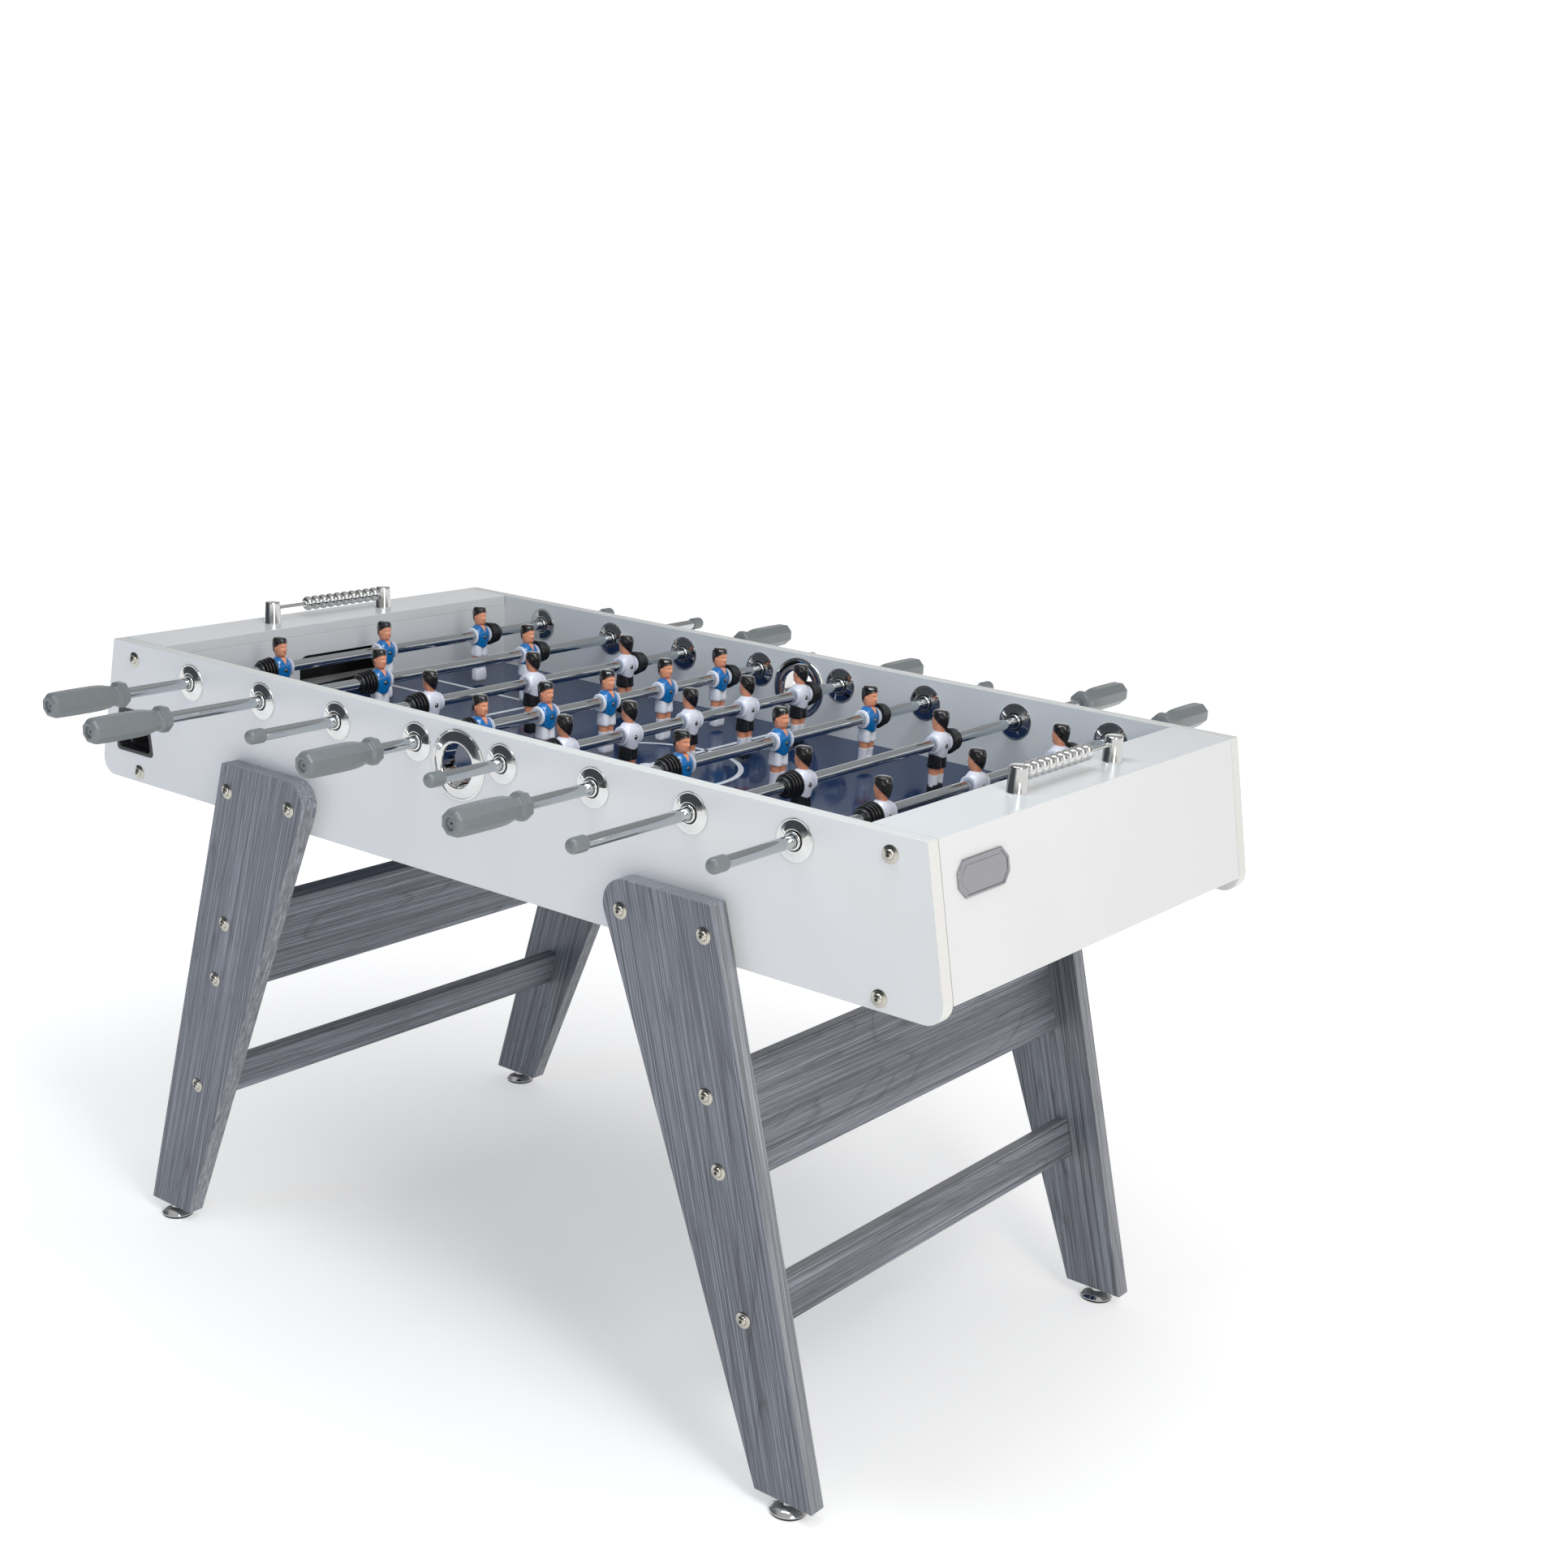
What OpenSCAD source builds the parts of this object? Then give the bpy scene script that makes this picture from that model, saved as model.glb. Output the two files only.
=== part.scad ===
// Foosball table: a white cabinet on four slanted legs, with eight rods of players.
// Units are millimetres. X runs along the table, Y across it and Z up.
// The origin is on the floor, under the middle of the table.

/* [Cabinet] */
// Length of the side panels along their top edge
panel_top_len = 1302; // [1290:1:1310]
// Length of the side panels along their bottom edge, before the corners are rounded
panel_bottom_len = 1382; // [1374:1:1400]
// Width over the outer faces of the side panels
body_w = 686; // [680:1:700]
// Height of the cabinet's top face above the floor
body_top = 812; // [808:1:820]
// Height of the side panels' bottom edge
panel_bottom = 622; // [615:1:626]
// Thickness of the side panels
panel_t = 18; // [16:1:19]
// Radius of the side panels' bottom corners
panel_corner_r = 22; // [10:1:40]
// Thickness of the end panels
end_t = 16; // [12:1:17]
// Height of the end panels' bottom edge
end_bottom = 643; // [632:1:650]
// Thickness of the end boards on top
top_board_t = 15; // [12:1:18]

/* [Play area] */
// Height of the playing surface
field_top = 707; // [704:1:709]
// Thickness of the playing surface
field_t = 9; // [6:1:12]
// Length of the play area between the goal walls
field_len = 1140; // [1136:1:1150]
// Thickness of the goal walls
goal_wall_t = 15; // [12:1:16]
// Width of the goal openings
goal_w = 180; // [160:1:200]
// Height of the goal openings
goal_h = 61; // [55:1:62]

/* [Rods] */
// Distance from one rod to the next
rod_pitch = 140; // [139:0.5:142]
// Height of the rods
rod_z = 779; // [778:0.5:780]
// Diameter of the rods
rod_d = 14; // [12:0.5:15]
// Wall thickness of the rod tubes
rod_wall = 1.5; // [1:0.25:2.5]
// Diameter of the rod bearings' flanges
bearing_d = 47.5; // [44:0.5:50]
// Length of the handles
handle_len = 113; // [108:1:120]
// Length of the end caps
cap_len = 24; // [20:1:30]

/* [Players] */
// Height of the players' heads above the rod's axis
head_rise = 42; // [40:0.5:44]
// Drop of the players' feet below the rod's axis
foot_drop = 68; // [66:0.5:69]
// Width of a player over the shoulders
player_w = 31; // [28:0.5:32]
// Length of a rubber bumper
bumper_len = 24; // [20:1:25]

/* [Legs] */
// Height of the legs' top edge
leg_top = 693; // [680:1:700]
// Height of the legs' bottom edge
leg_bottom = 17; // [15:1:20]
// Thickness of the legs and of the upper stretchers
leg_t = 24; // [20:1:26]
// Distance from the middle of the table to a leg's inner bottom corner
foot_inner_x = 507; // [500:1:512]
// Distance from the middle of the table to a leg's outer bottom corner
foot_outer_x = 589; // [585:1:595]
// Distance from the middle of the table to a leg's inner top corner
knee_inner_x = 235; // [230:1:245]
// Distance from the middle of the table to a leg's outer top corner
knee_outer_x = 404; // [398:1:410]

/* [Details] */
// Distance from the middle of the table to the score counters' posts, along X
score_x = 608; // [605:1:612]
// Distance from the middle of the table to the score counters' posts, along Y
score_y = 105; // [104:1:110]
// Height of the score counters' posts
score_post_h = 30.5; // [29:0.5:32]
// Diameter of the score beads
bead_d = 20; // [16:0.5:21]

/* [Hidden] */
$fn = 64;
leg_names = ["front_left_leg", "front_right_leg", "rear_left_leg", "rear_right_leg"];
rod_count = 8;
// Players on each rod, and the spacing, shift and handle side that go with them
rod_players = [3, 2, 3, 5, 5, 3, 2, 3];
rod_team = ["blue", "blue", "white", "blue", "white", "blue", "white", "white"];
rod_shift = [-3, 0, 5, -3, -4, 0, 0, 4];
// How much further than the rest each handle is pushed onto its rod
handle_push = [8, 0, 0, 0, 0, 0, 0, 0];
pair_spacing = 285;
trio_spacing = 190.5;
five_spacing = 117;

run_gap = 0.08;
face_gap = 0.4;
half_w = body_w / 2;
inner_half_w = half_w - panel_t;
half_field = field_len / 2;
lean = atan((panel_bottom_len - panel_top_len) / 2 / (body_top - panel_bottom));
end_skin = end_t / cos(lean);
leg_lean = atan((foot_outer_x - knee_outer_x) / (leg_top - leg_bottom));

flange_rise = 6.5;
sleeve_r = 12;
entry_z = 764;
entry_r = 42.6;
entry_tube_r = 28;
entry_hole_r = 25;

handle_r = 16;
cap_r = 8.9;
handle_wall = 8;
cap_wall = 4;

bolt_r = 3.5;
washer_r = 10;
head_r = 6;
head_h = 3.6;
washer_h = 2;
panel_bolt_x = 608;
panel_bolt_z = [790, 636];
panel_bolt_len = 46;
// Leg bolts: two into the side panel, two into the upper stretcher, one into the lower one
leg_bolt_xz = [[276, 656.5], [394.5, 656.5], [408.5, 473.7], [431.5, 390.3], [477.5, 223]];
leg_bolt_len = [42, 42, 70, 70, 70];

upper_stretcher = [130, leg_t];
lower_stretcher = [52, 18];
upper_stretcher_xz = [420, 432];
lower_stretcher_xz = [477.5, 223];

block_w = 40;
block_x = 588;
block_z = [757, 622];
block_h = [40, 28];

port_z = [663, 719];
port_x = 615;
port_half = [37, 29];
port_lip = 2;
port_lip_rise = 1;
port_frame_t = 3;
chute_drop = 26;
chute_t = 3;
chute_wall_h = 24;
chute_x = [586, 646];

leveler_r = 22.5;
stem_r = 4;
stem_top = 48;

bead_count = 10;
bead_pitch = 14;
score_rod_r = 2.4;
score_rod_z = body_top + 21;
post_r = [11.8, 10.4];

badge_y = -250;
badge_z = 764;
badge_size = [97, 40, 3];
badge_cut = 12;

// Corner points of a closed outline, each as [x, y, radius], turned into an outline with arcs
function unit(v) = v / norm(v);
function xy(p) = [p[0], p[1]];
function arc_step(a0, a1) = let (d = (a1 - a0) % 360) d > 180 ? d - 360 : d < -180 ? d + 360 : d;
function round_corner(before, corner, after, r, steps = 10) =
    let (
        a = unit(before - corner),
        b = unit(after - corner),
        half = acos(a * b) / 2,
        centre = corner + unit(a + b) * r / sin(half),
        from = corner + a * r / tan(half) - centre,
        to = corner + b * r / tan(half) - centre,
        a0 = atan2(from[1], from[0]),
        turn = arc_step(a0, atan2(to[1], to[0]))
    )
    [for (i = [0:steps]) centre + r * [cos(a0 + turn * i / steps), sin(a0 + turn * i / steps)]];
function rounded(points) = [
    for (i = [0:len(points) - 1])
        let (
            n = len(points),
            p = points[i],
            before = xy(points[(i + n - 1) % n]),
            after = xy(points[(i + 1) % n])
        )
        each (p[2] > 0 ? round_corner(before, xy(p), after, p[2]) : [xy(p)])
];

function rod_x(k) = (k - (rod_count + 1) / 2) * rod_pitch;
function spacing(k) =
    rod_players[k - 1] == 2 ? pair_spacing : rod_players[k - 1] == 3 ? trio_spacing : five_spacing;
function player_y(k, i) = (i - (rod_players[k - 1] - 1) / 2) * spacing(k) + rod_shift[k - 1];
// Distance from the rod's middle to the handle's tip and to the end cap's tip
function handle_tip(k) =
    (rod_players[k - 1] == 2 ? 604 : rod_players[k - 1] == 3 ? 566 : 518.5) - handle_push[k - 1];
function cap_tip(k) = rod_players[k - 1] == 2 ? 537 : rod_players[k - 1] == 3 ? 489 : 460;
// The blue team's handles are in front and the white team's are behind
function handle_side(k) = rod_team[k - 1] == "blue" ? -1 : 1;
function face_x(z) = panel_top_len / 2 + (body_top - z) * tan(lean);
function bead_start(side) = side < 0 ? score_y - post_r[0] - 0.5 - bead_count * bead_pitch
    : -(score_y - post_r[0] - 0.5);

// Stands an outline drawn in X and Z up as a board from y0 to y1
module board_y(y0, y1) {
    translate([0, y1, 0]) rotate([90, 0, 0]) linear_extrude(height = y1 - y0) children();
}
// Lays a solid drawn along +Z down along Y, pointing away from the middle of the table
module along_y(x, y, z, side) {
    translate([x, y, z]) rotate([side < 0 ? 90 : -90, 0, 0]) children();
}
module hole_y(x, z, r) {
    translate([x, 0, z]) rotate([90, 0, 0]) cylinder(r = r, h = body_w + 200, center = true);
}
module on_both_ends() {
    children();
    mirror([1, 0, 0]) children();
}

module port_outline(grow) {
    polygon(rounded([
        [-port_x - port_half[0] - grow, port_z[0] - grow, 6],
        [-port_x + port_half[0] + grow, port_z[0] - grow, 6],
        [-port_x + port_half[1] + grow, port_z[1] + grow, 6],
        [-port_x - port_half[1] - grow, port_z[1] + grow, 6]
    ]));
}

module side_panel() {
    difference() {
        board_y(-half_w, -inner_half_w)
            polygon(rounded([
                [-panel_bottom_len / 2, panel_bottom, panel_corner_r],
                [panel_bottom_len / 2, panel_bottom, panel_corner_r],
                [panel_top_len / 2, body_top, 1.5],
                [-panel_top_len / 2, body_top, 1.5]
            ]));
        for (k = [1:rod_count]) hole_y(rod_x(k), rod_z, sleeve_r);
        hole_y(0, entry_z, entry_tube_r);
        for (s = [-1, 1], z = panel_bolt_z) hole_y(s * panel_bolt_x, z, bolt_r);
        for (s = [-1, 1], i = [0, 1]) hole_y(s * leg_bolt_xz[i][0], leg_bolt_xz[i][1], bolt_r);
        board_y(-half_w - 1, -inner_half_w + 1) port_outline(0);
    }
}
module front_side_panel() {
    color("gainsboro") side_panel();
}
module rear_side_panel() {
    color("gainsboro") rotate([0, 0, 180]) side_panel();
}

// The end panel and the end board meet in a mitre along the top corner
module end_panel() {
    board_y(-inner_half_w, inner_half_w)
        polygon([
            [face_x(body_top), body_top],
            [face_x(end_bottom), end_bottom],
            [face_x(end_bottom) - end_skin, end_bottom],
            [face_x(body_top - top_board_t) - end_skin, body_top - top_board_t]
        ]);
}
module top_board() {
    board_y(-inner_half_w, inner_half_w)
        polygon([
            [half_field, body_top],
            [face_x(body_top), body_top],
            [face_x(body_top - top_board_t) - end_skin, body_top - top_board_t],
            [half_field, body_top - top_board_t]
        ]);
}
module left_end_panel() {
    color("whitesmoke") mirror([1, 0, 0]) end_panel();
}
module right_end_panel() {
    color("whitesmoke") end_panel();
}
module left_top_board() {
    color("whitesmoke") mirror([1, 0, 0]) top_board();
}
module right_top_board() {
    color("whitesmoke") top_board();
}

module playfield() {
    color("darkslateblue")
        translate([-half_field, -inner_half_w, field_top - field_t])
            cube([field_len, 2 * inner_half_w, field_t]);
}

module goal_wall() {
    difference() {
        translate([half_field, -inner_half_w, panel_bottom + 10])
            cube([goal_wall_t, 2 * inner_half_w, body_top - top_board_t - panel_bottom - 10]);
        translate([half_field - 1, 0, 0]) rotate([90, 0, 90]) linear_extrude(height = goal_wall_t + 2)
            polygon(rounded([
                [-goal_w / 2, field_top, 0],
                [goal_w / 2, field_top, 0],
                [goal_w / 2, field_top + goal_h, 14],
                [-goal_w / 2, field_top + goal_h, 14]
            ]));
    }
}
module left_goal_wall() {
    color("whitesmoke") mirror([1, 0, 0]) goal_wall();
}
module right_goal_wall() {
    color("whitesmoke") goal_wall();
}

// Wooden blocks inside the four corners, which the side panels are bolted to
module corner_blocks() {
    color("burlywood")
        on_both_ends()
            for (side = [-1, 1], i = [0, 1])
                difference() {
                    translate([block_x, side * (inner_half_w - block_w / 2) - block_w / 2, block_z[i]])
                        cube([block_w, block_w, block_h[i]]);
                    hole_y(panel_bolt_x, panel_bolt_z[i], bolt_r);
                }
}

// A flanged bearing in two halves: a sleeve with the outer flange, and the inner flange
module bearing_flange(inner_r) {
    rotate_extrude()
        polygon(concat(
            [[inner_r, 0], [bearing_d / 2, 0], [bearing_d / 2, 1]],
            [for (a = [10:16:90]) [15 + 8 * cos(a), 1 + 4 * sin(a)]],
            [[13.2, 5.4], [12.4, flange_rise], [10, flange_rise], [inner_r, flange_rise - 1.5]]
        ));
}
module bearing_sleeve(inner_r) {
    difference() {
        cylinder(r = sleeve_r, h = panel_t);
        translate([0, 0, -1]) cylinder(r = inner_r, h = panel_t + 2);
    }
}
module rod_bearings() {
    bore_r = rod_d / 2 + run_gap;
    color("silver")
        for (k = [1:rod_count], side = [-1, 1]) {
            along_y(rod_x(k), side * half_w, rod_z, side) {
                bearing_flange(bore_r);
                translate([0, 0, -panel_t]) bearing_sleeve(bore_r);
            }
            along_y(rod_x(k), side * inner_half_w, rod_z, -side) bearing_flange(bore_r);
        }
}

// A dished ring on the outer face with a tube through the panel, and a ring on the inner face
module entry_dish() {
    rotate_extrude()
        polygon([
            [entry_tube_r, -panel_t], [entry_tube_r, 0], [entry_r, 0], [entry_r, 2.5],
            [entry_r - 2, 4.5], [entry_r - 5, 5], [entry_hole_r + 5, 1],
            [entry_hole_r + 1, -3], [entry_hole_r, -panel_t]
        ]);
}
module entry_ring() {
    rotate_extrude()
        polygon([
            [entry_hole_r, 0], [entry_r, 0], [entry_r, 1.5], [entry_r - 4, 3],
            [entry_hole_r + 3, 3], [entry_hole_r, 1.5]
        ]);
}
module ball_entry_cups() {
    color("silver")
        for (side = [-1, 1]) {
            along_y(0, side * half_w, entry_z, side) entry_dish();
            along_y(0, side * inner_half_w, entry_z, -side) entry_ring();
        }
}

// A lip round the ball port on the panel's face, with a sleeve through the panel
module port_frame() {
    difference() {
        union() {
            board_y(-half_w - port_lip_rise, -half_w) port_outline(port_lip);
            board_y(-half_w, -inner_half_w) port_outline(0);
        }
        board_y(-half_w - 3, -inner_half_w + 1) port_outline(-port_frame_t);
    }
}
module ball_return_frames() {
    color("black") {
        port_frame();
        rotate([0, 0, 180]) port_frame();
    }
}

// A sloping trough behind the goal that rolls the ball down to the port
module chute() {
    low = port_z[0] + port_frame_t;
    high = low + chute_drop;
    y0 = -inner_half_w;
    y1 = inner_half_w;
    for (strip = [[chute_x[0], chute_x[1], 0], [chute_x[0], chute_x[0] + chute_t, chute_wall_h],
                  [chute_x[1] - chute_t, chute_x[1], chute_wall_h]])
        translate([-strip[1], 0, 0]) rotate([90, 0, 90]) linear_extrude(height = strip[1] - strip[0])
            polygon([
                [y0, low - chute_t], [y1, high - chute_t],
                [y1, high + strip[2]], [y0, low + strip[2]]
            ]);
}
module ball_chutes() {
    color("dimgray") {
        chute();
        rotate([0, 0, 180]) chute();
    }
}

module leg_outline() {
    polygon(rounded([
        [foot_inner_x, leg_bottom, 0],
        [foot_outer_x, leg_bottom, 0],
        [knee_outer_x, leg_top, 3],
        [knee_inner_x, leg_top, 30]
    ]));
}
// The leg at the right-hand front corner
module leg() {
    foot_x = (foot_inner_x + foot_outer_x) / 2;
    difference() {
        board_y(-half_w - leg_t, -half_w) leg_outline();
        for (p = leg_bolt_xz)
            translate([p[0], -half_w, p[1]]) rotate([90, 0, 0])
                cylinder(r = bolt_r, h = 3 * leg_t, center = true);
        translate([foot_x, -half_w - leg_t / 2, leg_bottom - 1])
            cylinder(r = stem_r + run_gap, h = stem_top - leg_bottom + 3);
    }
}
module placed_leg(i) {
    color("lightslategray")
        mirror([i % 2 == 0 ? 1 : 0, 0, 0]) mirror([0, i > 1 ? 1 : 0, 0]) leg();
}

module stretcher(size, xz, bolts) {
    difference() {
        translate([xz[0], 0, xz[1]]) rotate([0, -leg_lean, 0])
            cube([size[1], body_w, size[0]], center = true);
        for (i = bolts) hole_y(leg_bolt_xz[i][0], leg_bolt_xz[i][1], bolt_r);
    }
}
module stretchers() {
    color("lightslategray")
        on_both_ends() {
            stretcher(upper_stretcher, upper_stretcher_xz, [2, 3]);
            stretcher(lower_stretcher, lower_stretcher_xz, [4]);
        }
}

// A button-head bolt with a dished washer: the face it clamps is at height 0
module bolt(shank) {
    difference() {
        union() {
            rotate_extrude()
                polygon(concat(
                    [[0, 0], [washer_r, 0], [washer_r, 0.8], [head_r + 1, washer_h], [head_r, washer_h]],
                    [for (a = [0:15:90]) [head_r - 2 + 2 * cos(a), washer_h + head_h * sin(a)]],
                    [[0, washer_h + head_h]]
                ));
            translate([0, 0, -shank]) cylinder(r = bolt_r, h = shank);
        }
        translate([0, 0, washer_h + 1]) cylinder(r = 2.4, h = head_h, $fn = 6);
    }
}
module assembly_bolts() {
    color("gray")
        on_both_ends()
            for (side = [-1, 1]) {
                for (z = panel_bolt_z)
                    along_y(panel_bolt_x, side * half_w, z, side) bolt(panel_bolt_len);
                for (i = [0:4])
                    along_y(leg_bolt_xz[i][0], side * (half_w + leg_t), leg_bolt_xz[i][1], side)
                        bolt(leg_bolt_len[i]);
            }
}

module leveler() {
    rotate_extrude()
        polygon([
            [0, 0], [leveler_r - 1, 0], [leveler_r - 1, 3.5], [leveler_r, 3.5], [leveler_r, 5],
            [19, 8.5], [13, 11], [8.5, 12], [8.5, leg_bottom], [stem_r, leg_bottom],
            [stem_r, stem_top], [0, stem_top]
        ]);
}
module placed_leveler(i) {
    foot_x = (foot_inner_x + foot_outer_x) / 2;
    color("silver")
        translate([(i % 2 == 0 ? -1 : 1) * foot_x, (i > 1 ? 1 : -1) * (half_w + leg_t / 2), 0])
            leveler();
}

module score_frame() {
    for (side = [-1, 1])
        translate([score_x, side * score_y, body_top]) difference() {
            rotate_extrude()
                polygon([
                    [0, 0], [post_r[0], 0], [post_r[1], score_post_h - 1.5],
                    [post_r[1] - 1.5, score_post_h], [0, score_post_h]
                ]);
            translate([0, -side * 20, score_rod_z - body_top]) rotate([90, 0, 0])
                cylinder(r = score_rod_r, h = 40, center = true);
        }
    translate([score_x, 0, score_rod_z]) rotate([90, 0, 0])
        cylinder(r = score_rod_r, h = 2 * score_y, center = true);
}
module score_frames() {
    color("silver") on_both_ends() score_frame();
}
module bead() {
    edge_r = 0.34 * bead_d;
    half = bead_pitch / 2 - 0.1;
    rotate_extrude()
        polygon(concat(
            [[score_rod_r + run_gap, -half], [edge_r, -half]],
            [for (a = [-70:20:70]) [edge_r + (bead_d / 2 - edge_r) * cos(a), (half - 1) * sin(a)]],
            [[edge_r, half], [score_rod_r + run_gap, half]]
        ));
}
module score_beads(side) {
    color("silver")
        for (i = [0:bead_count - 1])
            translate([side * score_x, bead_start(side) + (i + 0.5) * bead_pitch, score_rod_z])
                rotate([90, 0, 0]) bead();
}

// A blank plate with cut corners and a raised rim on the right-hand end panel
module badge_outline(inset) {
    w = badge_size[0] / 2 - inset;
    h = badge_size[1] / 2 - inset;
    c = badge_cut;
    polygon([[-w + c, -h], [w - c, -h], [w, -h + c], [w, h - c],
             [w - c, h], [-w + c, h], [-w, h - c], [-w, -h + c]]);
}
module badge() {
    color("dimgray")
        translate([face_x(badge_z), badge_y, badge_z]) rotate([0, -lean, 0]) rotate([90, 0, 90])
            difference() {
                linear_extrude(height = badge_size[2]) badge_outline(0);
                translate([0, 0, badge_size[2] - 1]) linear_extrude(height = 2) badge_outline(3);
            }
}

module rod(k) {
    side = handle_side(k);
    y_handle = side * (handle_tip(k) - handle_wall);
    y_cap = -side * (cap_tip(k) - cap_wall);
    length = abs(y_handle - y_cap);
    color("silver")
        translate([rod_x(k), rod_shift[k - 1] + (y_handle + y_cap) / 2, rod_z])
            rotate([90, 0, 0]) difference() {
                cylinder(d = rod_d, h = length, center = true);
                cylinder(d = rod_d - 2 * rod_wall, h = length + 2, center = true);
            }
}

// One player, facing +X, with the rod's axis at the origin along Y
module player() {
    torso_r = 13.5;
    shorts_h = 27;
    boot_top = 47;
    difference() {
        union() {
            rotate([90, 0, 0]) cylinder(r = torso_r, h = player_w, center = true);
            translate([-9, -player_w / 2 + 3, 0]) cube([18, player_w - 6, 17]);
            cylinder(r = 5.5, h = 24);
            translate([0, 0, head_rise - 10.5]) sphere(r = 10.5);
            translate([-9, -12, -shorts_h]) cube([18, 24, shorts_h]);
            for (side = [-1, 1])
                translate([0, side * 5.6, -boot_top - 1]) cylinder(r = 5, h = boot_top - shorts_h + 2);
            translate([-6, -10.5, -foot_drop]) cube([13, 21, foot_drop - boot_top]);
        }
        rotate([90, 0, 0]) cylinder(d = rod_d, h = player_w + 2, center = true);
    }
}
module players(k) {
    facing = rod_team[k - 1] == "blue" ? 0 : 180;
    color(rod_team[k - 1] == "blue" ? "dodgerblue" : "white")
        for (i = [0:rod_players[k - 1] - 1])
            translate([rod_x(k), player_y(k, i), rod_z]) rotate([0, 0, facing]) player();
}

// A ribbed rubber bumper that tapers from the player towards the side panel
module bumper() {
    ribs = 4;
    rib_len = bumper_len / ribs;
    rotate_extrude()
        polygon(concat(
            [[rod_d / 2 + run_gap, 0]],
            [for (i = [0:ribs - 1])
                let (r = 16.5 - 1.4 * i, z = i * rib_len)
                each [[r - 2, z], [r, z + 1.2], [r, z + rib_len - 2], [r - 2.4, z + rib_len - 0.8]]],
            [[10, bumper_len], [rod_d / 2 + run_gap, bumper_len]]
        ));
}
module bumpers(k) {
    last = rod_players[k - 1] - 1;
    color("black")
        for (end = [[0, -1], [last, 1]])
            along_y(rod_x(k), player_y(k, end[0]) + end[1] * (player_w / 2 + face_gap), rod_z, end[1])
                bumper();
}

// A handle, from its tip inwards, with a blind hole for the rod
module handle() {
    difference() {
        rotate_extrude()
            polygon([
                [0, 2], [8, 2], [9, 0], [12, 0], [14.5, 1.2], [handle_r, 4],
                [handle_r, handle_len - 29], [12, handle_len - 21], [12, handle_len - 16],
                [14.5, handle_len - 13.5], [14.5, handle_len - 1.5], [13, handle_len], [0, handle_len]
            ]);
        translate([0, 0, handle_wall]) cylinder(d = rod_d, h = handle_len);
    }
}
module end_cap() {
    difference() {
        rotate_extrude()
            polygon(concat(
                [[0, 0]],
                [for (a = [-75:15:0]) [cap_r * cos(a), 4 + 4 * sin(a)]],
                [[cap_r, cap_len], [0, cap_len]]
            ));
        translate([0, 0, cap_wall]) cylinder(d = rod_d, h = cap_len);
    }
}
module grips(k) {
    side = handle_side(k);
    y = rod_shift[k - 1];
    color("gray") {
        along_y(rod_x(k), y + side * handle_tip(k), rod_z, -side) handle();
        along_y(rod_x(k), y - side * cap_tip(k), rod_z, side) end_cap();
    }
}

front_side_panel();
rear_side_panel();
left_end_panel();
right_end_panel();
left_top_board();
right_top_board();
playfield();
left_goal_wall();
right_goal_wall();
corner_blocks();
rod_bearings();
ball_entry_cups();
ball_return_frames();
ball_chutes();
for (i = [0:3]) placed_leg(i);
stretchers();
assembly_bolts();
score_frames();
score_beads(-1);  // left_score_beads
score_beads(1);  // right_score_beads
badge();
for (i = [0:3]) placed_leveler(i);
for (k = [1:rod_count]) rod(k);
for (k = [1:rod_count]) players(k);
for (k = [1:rod_count]) bumpers(k);
for (k = [1:rod_count]) grips(k);
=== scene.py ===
"""A foosball table: looks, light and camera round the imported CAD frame. Profiles are in millimetres."""
import math

import bmesh
import bpy
import numpy as np
from mathutils import Matrix, Vector
from mathutils.geometry import tessellate_polygon


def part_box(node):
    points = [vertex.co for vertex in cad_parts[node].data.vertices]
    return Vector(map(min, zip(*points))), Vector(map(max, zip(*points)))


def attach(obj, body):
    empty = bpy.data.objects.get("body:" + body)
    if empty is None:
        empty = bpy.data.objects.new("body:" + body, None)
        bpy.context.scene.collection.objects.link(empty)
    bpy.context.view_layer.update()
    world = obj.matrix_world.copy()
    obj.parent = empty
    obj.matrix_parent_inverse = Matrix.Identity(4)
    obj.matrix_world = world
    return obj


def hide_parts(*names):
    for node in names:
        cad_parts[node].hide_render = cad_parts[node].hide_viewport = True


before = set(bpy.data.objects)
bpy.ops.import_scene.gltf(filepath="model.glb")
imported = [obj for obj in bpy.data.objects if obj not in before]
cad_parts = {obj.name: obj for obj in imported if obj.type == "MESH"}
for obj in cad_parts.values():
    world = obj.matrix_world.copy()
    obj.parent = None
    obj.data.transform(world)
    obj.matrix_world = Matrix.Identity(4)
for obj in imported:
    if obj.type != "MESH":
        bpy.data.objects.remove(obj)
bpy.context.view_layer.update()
MM = 0.001
WELD = 1e-5
RODS = range(1, 9)


# ---------------------------------------------------------------- reading the frame

def node_mesh(*names):
    """Points of some CAD nodes, welded, and their triangles."""
    points, keys, faces = [], {}, []
    for name in names:
        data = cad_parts[name].data
        index = []
        for v in data.vertices:
            key = tuple(round(c / WELD) for c in v.co)
            if key not in keys:
                keys[key] = len(points)
                points.append(np.array(v.co, float))
            index.append(keys[key])
        faces += [[index[i] for i in p.vertices] for p in data.polygons]
    return np.array(points), faces


def solids(name):
    """Boxes of the separate solids in a CAD node, in order of place."""
    points, faces = node_mesh(name)
    parent = list(range(len(points)))

    def root(i):
        while parent[i] != i:
            parent[i] = parent[parent[i]]
            i = parent[i]
        return i

    for f in faces:
        for i in f[1:]:
            parent[root(i)] = root(f[0])
    groups = {}
    for i in range(len(points)):
        groups.setdefault(root(i), []).append(points[i])
    boxes = [(Vector(np.min(g, 0)), Vector(np.max(g, 0))) for g in groups.values()]
    return sorted(boxes, key=lambda b: tuple(round(c, 4) for c in b[0]))


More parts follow.
